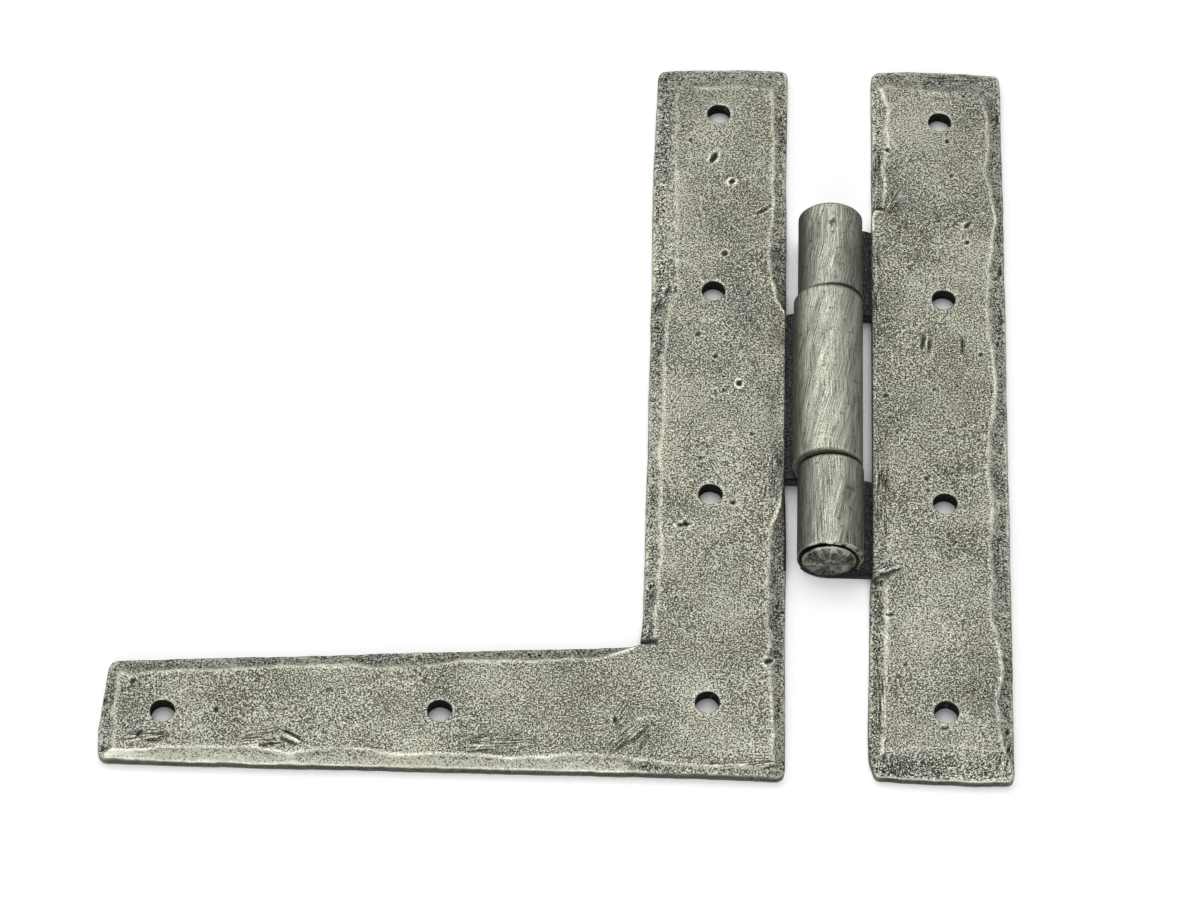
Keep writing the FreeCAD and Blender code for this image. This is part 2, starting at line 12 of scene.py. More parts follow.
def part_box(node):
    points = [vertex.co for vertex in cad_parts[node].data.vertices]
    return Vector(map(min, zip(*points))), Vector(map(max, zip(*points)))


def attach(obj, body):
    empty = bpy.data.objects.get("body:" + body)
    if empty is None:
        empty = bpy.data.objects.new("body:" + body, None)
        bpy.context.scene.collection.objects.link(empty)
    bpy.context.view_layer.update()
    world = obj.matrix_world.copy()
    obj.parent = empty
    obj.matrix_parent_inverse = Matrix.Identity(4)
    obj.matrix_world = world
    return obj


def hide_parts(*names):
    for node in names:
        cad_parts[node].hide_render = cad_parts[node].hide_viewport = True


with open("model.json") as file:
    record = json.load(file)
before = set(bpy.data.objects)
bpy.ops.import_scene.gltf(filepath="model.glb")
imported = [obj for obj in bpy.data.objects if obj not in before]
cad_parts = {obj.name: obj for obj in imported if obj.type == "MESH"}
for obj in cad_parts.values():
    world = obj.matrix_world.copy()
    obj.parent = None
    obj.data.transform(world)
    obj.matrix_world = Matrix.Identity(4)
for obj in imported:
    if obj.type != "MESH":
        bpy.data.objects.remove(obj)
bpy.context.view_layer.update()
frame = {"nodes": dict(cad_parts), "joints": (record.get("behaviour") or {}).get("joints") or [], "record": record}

bl_info = {
    "name": "Forged H-L hinge",
    "version": (1, 0, 0),
    "blender": (4, 5, 0),
    "location": "View3D > Sidebar > Hinge",
    "description": "Dresses a forged H-L hinge: hammered leaves, rolled knuckles, peened pin, patina and studio",
    "category": "Object",
}

MM = 0.001
RECORD = frame["record"]
PIN_AXIS = np.array(frame["joints"][0]["pos_m"]) / MM
PLATE = RECORD["mounts"][0]["pos_m"][2] / MM
LOWEST_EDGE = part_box("l_leaf")[0].y / MM
BORE = PIN_AXIS[2] - PLATE
# Half the width of the strip round the pin that the plates leave to the knuckles' tabs, in millimetres.
TAB = 9.5
# How far the rolls reach from the pin's axis, and the tabs beside it.
ROLL_REACH = 10.4
TAB_REACH = 11.6
# Spacing of the points on the flat backs, and how far from the rims each face's grid starts.
BACK_STEP = 5.0
FRONT_MARGIN = 0.42
BACK_MARGIN = 1.5

# The patina's tones, as the eye sees them on the finished hinge. The soot, crust, scale and pepper tones also
# paint shade, and the rubbed tone painted highlights.
PEWTER_LIGHT = "#B8B9A9"
PEWTER = "#9A9B8D"
PEWTER_WARM = "#9B9485"
PEWTER_DARK = "#64655C"
PEPPER_AND_SHADE = "#3F403B"
STROKE_DARK = "#66665D"
STROKE_LIGHT = "#C4C4B4"
RUBBED_AND_SHEEN = "#D2D2C2"
SOOT_AND_SHADE = "#222224"
CRUST_AND_SHADE = "#47474A"
BACK_SCALE_AND_SHADE = "#7B7A70"

# The photograph's camera: 35 mm-format lens, height above the table and turn, and the point it looks at.
LENS_MM = 125.83
CAMERA_ELEVATION = 56.96
CAMERA_TURN = -1.858
CAMERA_AIM_MM = (8.2, -16.15, 0.0)
# Half the side of the studio's floor, in millimetres.
FLOOR_REACH = 4000.0
# Square lamps that face the origin: place and side in metres, and power in watts.
SOFTBOXES = (
    ("key softbox", (-1.1, 0.5, 1.0), 1.1, 5.0), ("overhead softbox", (0.05, 0.5, 1.25), 1.0, 8.7),
    ("front softbox", (-0.1, -1.5, 0.8), 0.9, 9.0),
)

MATH, RANGE, MIX = "ShaderNodeMath", "ShaderNodeMapRange", "ShaderNodeMix"
NOISE, VECTOR, ATTRIBUTE = "ShaderNodeTexNoise", "ShaderNodeVectorMath", "ShaderNodeAttribute"


# Properties
class HingeSizes(bpy.types.PropertyGroup):
    """Sizes and tones that someone who restyles the hinge would change."""

    mesh_step: bpy.props.FloatProperty(
        name="Mesh step", description="Spacing of the points on the hammered faces", default=0.00055,
        min=0.0003, max=0.003, unit="LENGTH",
    )
    hammer_depth: bpy.props.FloatProperty(
        name="Hammer depth", description="Depth of the broad hammer marks on the faces", default=0.00010,
        min=0.0, max=0.0005, unit="LENGTH",
    )
    edge_rounding: bpy.props.FloatProperty(
        name="Edge rounding", description="Radius that wear has given the edges", default=0.00035,
        min=0.00005, max=0.001, unit="LENGTH",
    )
    file_depth: bpy.props.FloatProperty(
        name="File depth", description="Depth of the file strokes on the knuckles", default=0.00009,
        min=0.0, max=0.0005, unit="LENGTH",
    )
    peen_depth: bpy.props.FloatProperty(
        name="Peen depth", description="Depth of the hammer dimples on the pin's heads", default=0.00045,
        min=0.0, max=0.001, unit="LENGTH",
    )
    floor_colour: bpy.props.FloatVectorProperty(
        name="Floor", description="Colour of the studio floor", default=(0.86, 0.86, 0.86), subtype="COLOR",
        min=0.0, max=1.0,
    )
    camera_distance: bpy.props.FloatProperty(
        name="Camera distance", description="From the camera to the point it looks at", default=1.12354,
        unit="LENGTH",
    )


# Colour and node helpers
def tone(hex_colour):
    """Linear colour of an sRGB hex value."""
    parts = [int(hex_colour[i:i + 2], 16) / 255 for i in (1, 3, 5)]
    return [p / 12.92 if p <= 0.04045 else ((p + 0.055) / 1.055) ** 2.4 for p in parts] + [1.0]


def add(tree, kind, inputs=(), **settings):
    """One node with its settings. An input takes a value, a socket, or a node, whose first output it reads."""
    node = tree.nodes.new(kind)
    for key, value in settings.items():
        setattr(node, key, value)
    for key, value in inputs.items() if isinstance(inputs, dict) else enumerate(inputs):
        if isinstance(value, bpy.types.Node):
            value = next(output for output in value.outputs if output.enabled)
        if isinstance(value, bpy.types.NodeSocket):
            tree.links.new(value, node.inputs[key])
        else:
            node.inputs[key].default_value = value
    return node


def blank_tree(owner):
    """The emptied node tree of a new material or world."""
    owner.use_nodes = True
    owner.node_tree.nodes.clear()
    return owner.node_tree


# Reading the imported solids
def mesh_values(mesh, name, width):
    """One of the mesh's per-vertex properties as rows."""
    values = np.empty(len(mesh.vertices) * width, np.float32)
    mesh.vertices.foreach_get(name, values)
    return values.reshape(-1, width).astype(float)


def solid_mesh(node):
    """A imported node's points in millimetres, joined where triangles meet, and its triangles."""
    mesh = frame["nodes"][node].data
    points = mesh_values(mesh, "co", 3) / MM
    mesh.calc_loop_triangles()
    triangles = np.empty(len(mesh.loop_triangles) * 3, np.int32)
    mesh.loop_triangles.foreach_get("vertices", triangles)
    keys, inverse = np.unique(np.round(points, 3), axis=0, return_inverse=True)
    triangles = inverse.reshape(-1)[triangles].reshape(-1, 3)
    distinct = (triangles[:, 0] != triangles[:, 1]) & (triangles[:, 1] != triangles[:, 2])
    distinct &= triangles[:, 2] != triangles[:, 0]
    return keys, triangles[distinct]


def back_loops(points, triangles):
    """The closed outlines of the flat back: the plate's own and one for each screw hole."""
    flat = triangles[np.all(points[triangles][:, :, 2] < 0.02, axis=1)]
    directed = {(int(t[i]), int(t[(i + 1) % 3])) for t in flat for i in range(3)}
    follow = {a: b for a, b in directed if (b, a) not in directed}
    loops = []
    while follow:
        start, step = follow.popitem()
        loop = [start]
        while step != start:
            loop.append(step)
            step = follow.pop(step)
        loops.append(points[loop][:, :2])
    return loops


def signed_area(loop):
    """Positive for a loop that runs anticlockwise."""
    following = np.roll(loop, -1, axis=0)
    return 0.5 * np.sum(loop[:, 0] * following[:, 1] - following[:, 0] * loop[:, 1])


def evenly(loop, step):
    """The loop with evenly spaced points."""
    closed = np.vstack([loop, loop[:1]])
    lengths = np.r_[0, np.cumsum(np.linalg.norm(np.diff(closed, axis=0), axis=1))]
    count = max(12, int(round(lengths[-1] / step)))
    at = np.arange(count) * lengths[-1] / count
    return np.column_stack([np.interp(at, lengths, closed[:, axis]) for axis in (0, 1)])


def softened(loop, reach):
    """The loop with its corners eased over a number of points each way."""
    total = sum(np.roll(loop, shift, axis=0) for shift in range(-reach, reach + 1))
    return total / (2 * reach + 1)


def outward(loop):
    """Unit normals of an anticlockwise loop, pointing out of it."""
    along = np.roll(loop, -1, axis=0) - np.roll(loop, 1, axis=0)
    normal = np.column_stack([along[:, 1], -along[:, 0]])
    return normal / np.linalg.norm(normal, axis=1)[:, None]


def drift(x, y, size, seed):
    """Smooth random field between -1 and 1, with features of a given size."""
    table = np.random.RandomState(seed).uniform(-1, 1, (256, 256))
    gx, gy = x / size + seed * 7.3, y / size + seed * 3.1
    ix, iy = np.floor(gx).astype(int), np.floor(gy).astype(int)
    fx, fy = gx - ix, gy - iy
    fx, fy = fx * fx * (3 - 2 * fx), fy * fy * (3 - 2 * fy)
    corner = [[table[(ix + a) % 256, (iy + b) % 256] for b in (0, 1)] for a in (0, 1)]
    low = corner[0][0] * (1 - fx) + corner[1][0] * fx
    high = corner[0][1] * (1 - fx) + corner[1][1] * fx
    return low * (1 - fy) + high * fy


def nearest(points, targets, batch=4000):
    """Distance from each point to its nearest target, and which target that is."""
    out = np.empty(len(points))
    which = np.empty(len(points), int)
    for start in range(0, len(points), batch):
        part = points[start:start + batch]
        gap = ((part[:, None, :] - targets[None, :, :]) ** 2).sum(2)
        which[start:start + batch] = gap.argmin(1)
        out[start:start + batch] = np.sqrt(gap.min(1))
    return out, which


def blows(way, total, seed):
    """Hammer blows along an edge: for each place, how full the blow is (0 at its cusps) and its own number."""
    chance = np.random.RandomState(seed)
    ends = np.r_[0, np.cumsum(chance.uniform(6.5, 17.0, int(total / 8) + 4))]
    which = np.searchsorted(ends, way, side="right") - 1
    middle, half = (ends[which] + ends[which + 1]) / 2, (ends[which + 1] - ends[which]) / 2
    return np.clip(1 - ((way - middle) / half) ** 2, 0, 1), chance.uniform(0, 1, len(ends))[which]


def inside(points, loop, batch=4000):
    """Is each point within the loop?"""
    ends = np.roll(loop, -1, axis=0)
    out = np.empty(len(points), bool)
    for start in range(0, len(points), batch):
        x, y = points[start:start + batch, 0, None], points[start:start + batch, 1, None]
        spans = (loop[None, :, 1] > y) != (ends[None, :, 1] > y)
        rise = ends[None, :, 1] - loop[None, :, 1]
        rise = np.where(np.abs(rise) < 1e-9, 1e-9, rise)
        cross = loop[None, :, 0] + (y - loop[None, :, 1]) * (ends - loop)[None, :, 0] / rise
        out[start:start + batch] = (spans & (x < cross)).sum(1) % 2 == 1
    return out


def from_spot(points, across, rise):
    """Distances sideways and up the hinge from a spot on its faces."""
    return points[:, 0] - (PIN_AXIS[0] + across), points[:, 1] - (LOWEST_EDGE + rise)


def turned(x, y, degrees):
    """Distances along and across a line at an angle."""
    c, s = math.cos(math.radians(degrees)), math.sin(math.radians(degrees))
    return x * c + y * s, y * c - x * s


# Marks on the faces
# Sideways distance from the pin's axis and rise above the L leaf's lowest edge, then length, width, turn in
# degrees, depth and the height of the lip thrown up round it, all in millimetres.
L_DENTS = (
    (-32.3, 196.2, 3.6, 1.5, 68, 0.42, 0.06), (-27.1, 188.0, 1.8, 1.3, 20, 0.4, 0.14),
    (-28.7, 163.2, 1.8, 1.3, 80, 0.3, 0.08), (-35.6, 135.9, 1.4, 0.9, 30, 0.35, 0.03),
    (-30.6, 128.8, 1.1, 0.9, 0, 0.3, 0.03), (-24.2, 120.2, 1.8, 1.3, 100, 0.4, 0.12),
    (-28.2, 117.9, 1.1, 0.8, 0, 0.25, 0.03), (-25.2, 82.1, 1.3, 1.0, 40, 0.35, 0.04),
    (-38.1, 74.8, 3.4, 0.8, 12, 0.4, 0.1), (-37.6, 75.3, 2.6, 0.7, 105, 0.4, 0.1),
    (-18.2, 178.4, 5.2, 0.7, 38, 0.3, 0.07), (-44.3, 150.4, 5.0, 0.6, 72, 0.25, 0.05),
    (-15.4, 33.9, 2.2, 1.0, 38, 0.45, 0.04), (-39.0, 202.0, 1.0, 0.8, 0, 0.2, 0.02),
    (-22.0, 150.0, 1.0, 0.7, 60, 0.22, 0.02), (-36.0, 176.0, 0.9, 0.7, 0, 0.2, 0.02),
    (-20.5, 104.0, 1.0, 0.8, 10, 0.22, 0.02), (-34.0, 96.0, 0.9, 0.9, 0, 0.2, 0.02),
    (-156.8, 14.9, 1.4, 0.9, 110, 0.4, 0.04), (-137.6, 7.5, 5.2, 1.3, -28, -0.22, 0.0),
    (-137.4, 8.5, 5.2, 0.6, -28, 0.28, 0.0), (-137.9, 6.3, 4.8, 0.5, -28, 0.22, 0.0),
    (-143.2, 5.0, 4.4, 0.5, 8, 0.25, 0.03), (-142.0, 5.8, 2.2, 0.5, 110, 0.2, 0.03),
    (-171.8, 5.4, 4.2, 0.5, 4, 0.25, 0.03), (-176.0, 7.0, 2.6, 0.5, 60, 0.22, 0.02),
    (-179.0, 22.6, 1.6, 1.2, 60, 0.35, 0.03), (-186.0, 17.0, 1.8, 1.2, 80, 0.3, 0.0),
    (-128.4, 21.6, 1.6, 0.5, 50, 0.25, 0.03), (-54.4, 15.4, 2.4, 0.8, 100, 0.28, 0.05),
    (-104.0, 25.0, 1.2, 0.8, 40, 0.2, 0.02), (-47.4, 11.4, 8.4, 0.5, 49, 0.16, 0.03),
    (-50.8, 8.6, 8.0, 0.5, 48, 0.14, 0.03), (-29.0, 3.2, 5.0, 0.5, 3, 0.2, 0.02),
    (-15.0, 2.6, 4.0, 0.6, 14, 0.22, 0.02),
)
# Sheaves of fine scratches: middle, half-length, half-width and turn in degrees.
SCARS = (
    (-50.6, 9.4, 6.6, 4.4, 47), (-53.2, 16.8, 4.4, 2.0, 58), (-63.2, 34.4, 3.6, 2.2, 118),
    (-144.4, 6.6, 8.0, 3.0, 8), (-137.5, 8.4, 5.0, 2.4, -28), (-84.5, 7.2, 10.5, 3.0, 6),
    (-174.5, 6.4, 6.0, 2.6, 8), (-20.0, 3.2, 8.0, 1.6, 8), (-16.0, 88.0, 4.5, 1.6, 78),
    (14.0, 62.0, 4.0, 2.4, 30), (13.6, 192.0, 10.0, 1.6, 90), (13.6, 24.0, 12.0, 1.6, 92),
    (34.0, 227.0, 12.0, 1.4, 2), (18.0, 183.0, 5.0, 3.0, 65), (45.6, 8.0, 6.0, 2.6, 75),
    (-45.8, 148.0, 6.0, 1.6, 72), (13.2, 30.0, 9.0, 1.3, 88), (14.2, 86.0, 15.0, 2.2, 91),
    (-13.5, 92.0, 9.0, 2.2, 88), (12.8, 152.0, 16.0, 1.6, 90), (26.3, 134.8, 3.8, 1.9, 86),
    (36.3, 134.8, 3.4, 1.0, 88),
)
PLAIN_DENTS = (
    (38.1, 174.9, 2.4, 0.9, 52, 0.35, 0.05), (38.0, 169.1, 1.3, 0.9, 40, 0.35, 0.04),
    (16.2, 200.4, 1.6, 0.8, 110, 0.4, 0.02), (15.3, 117.6, 1.2, 0.9, 0, 0.3, 0.03),
    (26.0, 91.3, 1.3, 0.9, 60, 0.35, 0.03), (26.5, 87.6, 1.0, 0.8, 0, 0.3, 0.03),
    (41.2, 131.8, 1.0, 1.0, 0, 0.25, 0.02), (25.5, 135.0, 5.6, 0.5, 84, 0.3, 0.03),
    (27.3, 134.2, 5.0, 0.45, 82, 0.26, 0.03), (26.4, 137.6, 2.6, 0.4, 12, 0.16, 0.02),
    (36.3, 134.8, 5.0, 0.5, 88, 0.3, 0.03), (28.6, 120.0, 1.0, 0.8, 20, 0.2, 0.01),
    (16.3, 48.9, 2.4, 0.6, 8, 0.3, 0.04), (30.1, 15.6, 2.8, 0.5, 8, 0.28, 0.04),
    (46.0, 15.1, 2.2, 1.2, 60, 0.2, 0.02), (34.0, 192.0, 1.1, 0.7, 30, 0.25, 0.02),
    (22.0, 160.0, 0.9, 0.7, 0, 0.22, 0.02), (40.0, 104.0, 1.0, 0.8, 0, 0.22, 0.02),
    (20.0, 34.0, 1.0, 0.8, 0, 0.22, 0.02), (33.0, 204.0, 1.3, 0.8, 40, 0.28, 0.03),
    (32.0, 74.0, 1.1, 0.7, 50, 0.2, 0.01), (46.9, 160.0, 3.0, 1.0, 85, 0.25, 0.0),
    (47.2, 213.0, 4.0, 0.8, 86, 0.25, 0.0), (13.2, 179.9, 3.6, 0.7, 0, 0.5, 0.0),
)
# Patches where forge scale was beaten in: middle, half-length, half-width and depth.
L_ROUGH = (
    (-144.0, 8.2, 9.0, 4.6, 0.12), (-84.0, 7.4, 11.0, 3.8, 0.12), (-174.0, 7.0, 6.0, 4.0, 0.1),
    (-55.0, 12.0, 7.0, 5.0, 0.1), (-33.0, 60.0, 10.0, 9.0, 0.05), (-70.0, 34.4, 10.0, 1.8, 0.1),
)
PLAIN_ROUGH = (
    (17.5, 184.0, 3.4, 16.0, 0.06), (13.0, 200.0, 2.0, 20.0, 0.08), (30.0, 226.0, 16.0, 3.2, 0.08),
    (13.0, 20.0, 2.6, 18.0, 0.08), (45.0, 12.0, 3.4, 9.0, 0.08), (15.0, 60.0, 3.4, 4.0, 0.08),
)
# Ghosts of single hammer blows on the flats: middle, half-width, half-height and how clear the rim is.
RINGS = (
    (-41.0, 181.0, 5.4, 9.8, 1.0), (-31.7, 211.5, 8.6, 9.4, 0.6), (-43.4, 197.0, 4.6, 9.0, 0.8),
    (-33.6, 226.5, 9.0, 6.5, 0.8), (-43.2, 12.0, 6.4, 4.6, 0.9), (-26.8, 13.4, 9.2, 6.6, 0.8),
    (-26.8, 54.5, 8.4, 8.0, 0.6), (-33.2, 29.5, 9.5, 10.0, 0.5), (-31.5, 117.0, 9.5, 19.0, 0.45),
    (-165.5, 19.6, 8.0, 6.6, 0.6), (-187.0, 34.0, 6.0, 5.0, 0.8), (-110.0, 8.0, 13.0, 5.4, 0.6),
    (-40.5, 150.0, 5.5, 10.5, 0.7), (-43.6, 96.0, 4.8, 9.0, 0.5), (-40.0, 62.0, 7.0, 9.0, 0.4),
    (-128.0, 27.0, 10.0, 4.6, 0.5), (-88.0, 27.0, 11.0, 5.0, 0.4), (-70.0, 8.0, 8.0, 5.0, 0.5),
    (28.6, 209.0, 13.5, 11.5, 0.9), (40.8, 168.0, 5.4, 11.0, 0.6), (21.0, 150.0, 7.0, 11.0, 0.35),
    (41.6, 118.0, 6.0, 10.0, 0.6), (20.0, 104.0, 8.0, 9.0, 0.4), (42.0, 82.0, 6.0, 9.0, 0.6),
    (24.0, 40.0, 9.0, 10.0, 0.4), (41.0, 38.0, 6.4, 9.0, 0.6), (30.0, 14.0, 11.0, 6.0, 0.7),
    (34.0, 60.0, 9.0, 8.0, 0.35), (38.0, 140.0, 8.0, 9.0, 0.35),
)
# Where the plain leaf's bevel ends at the lower tab: a wedge hammered down from the face, deepest at its first
# corner, which lies on the edge; its second corner is the tip, and its third lies on the bevel's ridge.
WEDGE = ((10.6, 60.3), (18.6, 63.5), (15.0, 56.6))
WEDGE_DEPTH = 1.1


def wedged(points, heights):
    """Heights with the wedge hammered down."""
    corners = np.array(WEDGE) + (PIN_AXIS[0], LOWEST_EDGE)
    into = np.linalg.inv(np.column_stack([corners[1] - corners[0], corners[2] - corners[0]]))
    tip, ridge = into @ (points[:, :2] - corners[0]).T
    held = (tip > 0) & (ridge > 0) & (tip + ridge < 1)
    heights[held] -= WEDGE_DEPTH * (1 - tip - ridge)[held]
    return heights


def dented(points, heights, dents):
    """Heights with each dent pressed in, and the lip that it threw up."""
    for across, rise, length, width, turn, depth, lip in dents:
        dx, dy = from_spot(points, across, rise)
        near = (np.abs(dx) < length) & (np.abs(dy) < length)
        if not near.any():
            continue
        along, over = turned(dx[near], dy[near], turn)
        ragged = 1 + 0.25 * drift(dx[near] * 3, dy[near] * 3, 1.0, 5)
        # 1 at the dent's outline; the lip stands at 1.4.
        reach = np.hypot(along / (length / 2), over / (width / 2)) * ragged
        heights[near] -= depth * np.exp(-1.1 * reach ** 3)
        heights[near] += lip * 1.3 * np.exp(-((reach - 1.4) / 0.3) ** 2)
    return heights


def roughened(points, heights, patches):
    """Heights with beaten-in scale in some patches."""
    for index, (across, rise, half_length, half_width, depth) in enumerate(patches):
        dx, dy = from_spot(points, across, rise)
        weight = np.clip(1.25 - ((dx / half_length) ** 2 + (dy / half_width) ** 2), 0, 1)
        near = weight > 0
        x, y = points[near, 0], points[near, 1]
        flakes = drift(x * 0.62, y, 0.9, 41 + index) + 0.6 * drift(x, y, 2.1, 61 + index)
        heights[near] -= depth * weight[near] * np.clip(flakes + 0.1, 0, 1)
    return heights


def hammer_rings(points):
    """How far each point lies inside a blow's shallow bowl, and how near to a blow's rim."""
    bowl, line = np.zeros(len(points)), np.zeros(len(points))
    broken = drift(points[:, 0], points[:, 1], 6.0, 21) + 0.35
    for index, (across, rise, half_width, half_height, clear) in enumerate(RINGS):
        dx, dy = from_spot(points, across, rise)
        near = (np.abs(dx) < half_width * 1.3) & (np.abs(dy) < half_height * 1.3)
        dx, dy = dx[near], dy[near]
        uneven = 1 + 0.09 * drift(dx, dy, 5.0, 31 + index)
        reach = np.hypot(dx / half_width, dy / half_height) * uneven
        bowl[near] = np.maximum(bowl[near], np.clip(1 - reach ** 2, 0, 1))
        width = 0.42 / min(half_width, half_height)
        mark = clear * np.clip(broken[near] * 2, 0, 1) * np.exp(-((reach - 1) / width) ** 2)
        line[near] = np.maximum(line[near], mark)
    return bowl, line


# The hammered plates
def lattice(low, high, across, up):
    """The points of a grid between two corners: their places across and up, row by row."""
    return np.meshgrid(np.arange(low[0], high[0], across), np.arange(low[1], high[1], up))


def in_plate(points, edge, holes):
    """Is each point within the plate's edge and outside its holes?"""
    keep = inside(points, edge)
    for hole in holes:
        keep &= ~inside(points, hole)
    return keep


def triangulated(plan, fixed, rims):
    """Triangles of the plan within the plate, facing up: each has a point that lies on no rim."""
    result = delaunay_2d_cdt([Vector(p) for p in plan], fixed, [], 0, 1e-7, False)
    if len(result[0]) != len(plan):
        raise RuntimeError("the plate's plan has points that coincide")
    faces = np.array(result[2])
    faces = faces[faces.max(1) >= sum(len(rim) for rim in rims)]
    a, b, c = (plan[faces[:, i]] for i in range(3))
    up = (b[:, 0] - a[:, 0]) * (c[:, 1] - a[:, 1]) - (b[:, 1] - a[:, 1]) * (c[:, 0] - a[:, 0]) > 0
    faces[~up] = faces[~up][:, ::-1]
    return faces


def hand_cut_rims(loops, step, seed):
    """The plate's edge and its screw holes as the smith left them, with evenly spaced points."""
    edge = softened(evenly(loops[0], step), 2)
    way = np.arange(len(edge)) * step
    wander = drift(way, way * 0, 4.0, seed) + 0.5 * drift(way, way * 0, 1.4, seed + 1)
    beside_tab = np.abs(edge[:, 0] - PIN_AXIS[0]) < TAB + 2.4
    rims = [edge - outward(edge) * (0.10 + 0.10 * wander * ~beside_tab)[:, None]]
    turn = np.arange(44) / 44 * 2 * math.pi
    for index, loop in enumerate(loops[1:]):
        low, high = loop.min(0), loop.max(0)
        uneven = 1 + 0.012 * np.sin(3 * turn + index) + 0.008 * np.sin(5 * turn + 2 * index)
        circle = np.column_stack([np.cos(turn), np.sin(turn)]) * uneven[:, None]
        rims.append((low + high) / 2 + circle * (high - low).mean() / 2)
    return rims


def front_heights(node, tree, plan, rims, dents, patches, seed):
    """Heights of the front face: the solid's bevels, with hand work added."""
    sizes = bpy.context.scene.hinge_sizes
    step, rounding, depth = (size / MM for size in (sizes.mesh_step, sizes.edge_rounding, sizes.hammer_depth))
    edge = rims[0]
    gap, beside = nearest(plan, edge)
    hole_gap = nearest(plan, np.vstack(rims[1:]))[0]
    x, y = plan[:, 0], plan[:, 1]
    # The solid is read a little off each point, so that its straight bevels waver, and bulge between the blows.
    ease = np.clip((gap - 0.2) / 2.5, 0, 1) * np.clip(hole_gap / 2.0, 0, 1)
    full, own = blows(beside * step, len(edge) * step, seed + 12)
    sample = plan.copy()
    sample[:len(edge)] -= outward(edge) * 0.06
    for axis, first in ((0, seed + 2), (1, seed + 4)):
        sample[:, axis] += (0.2 * drift(x, y, 7.5, first) + 0.12 * drift(x, y, 2.4, first + 1)) * ease
    sample += outward(edge)[beside] * ((0.3 * full - 0.17) * np.clip((gap - 0.1) / 2.2, 0, 1))[:, None]
    heights = np.full(len(plan), PLATE)
    down = Vector((0, 0, -1))
    for i, (px, py) in enumerate(sample):
        hit = tree.ray_cast(Vector((px, py, 30)), down)[0]
        if hit is None or hit.z < 1.0:
            hit = None if hole_gap[i] < 1.0 else tree.find_nearest(Vector((px, py, PLATE - 1)))[0]
        if hit is not None:
            heights[i] = min(hit.z, PLATE)
    bevel = np.clip((PLATE - heights) / 0.5, 0, 1)
    broad = drift(x, y, 13.0, seed + 6) + 0.5 * drift(x, y, 6.0, seed + 7)
    close = drift(x, y, 2.6, seed + 8) + 0.6 * drift(x, y, 1.3, seed + 9)
    settle = np.clip(hole_gap / 3.0, 0, 1)
    heights += depth * (0.75 * broad * settle - 0.75 + (0.22 + 0.5 * bevel) * close)
    heights -= bevel * full * own * 0.12
    heights -= 0.10 * hammer_rings(plan)[0] * (1 - bevel)
    if node == "plain_leaf":
        heights = wedged(plan, heights)
    heights = dented(plan, roughened(plan, heights, patches), dents)
    rim_gap = np.minimum(gap, hole_gap)
    lost = rounding - np.sqrt(np.maximum(rounding ** 2 - np.maximum(rounding - rim_gap, 0) ** 2, 0))
    return np.clip(heights - np.where(rim_gap < rounding, lost, 0), 1.2, PLATE + 0.05)


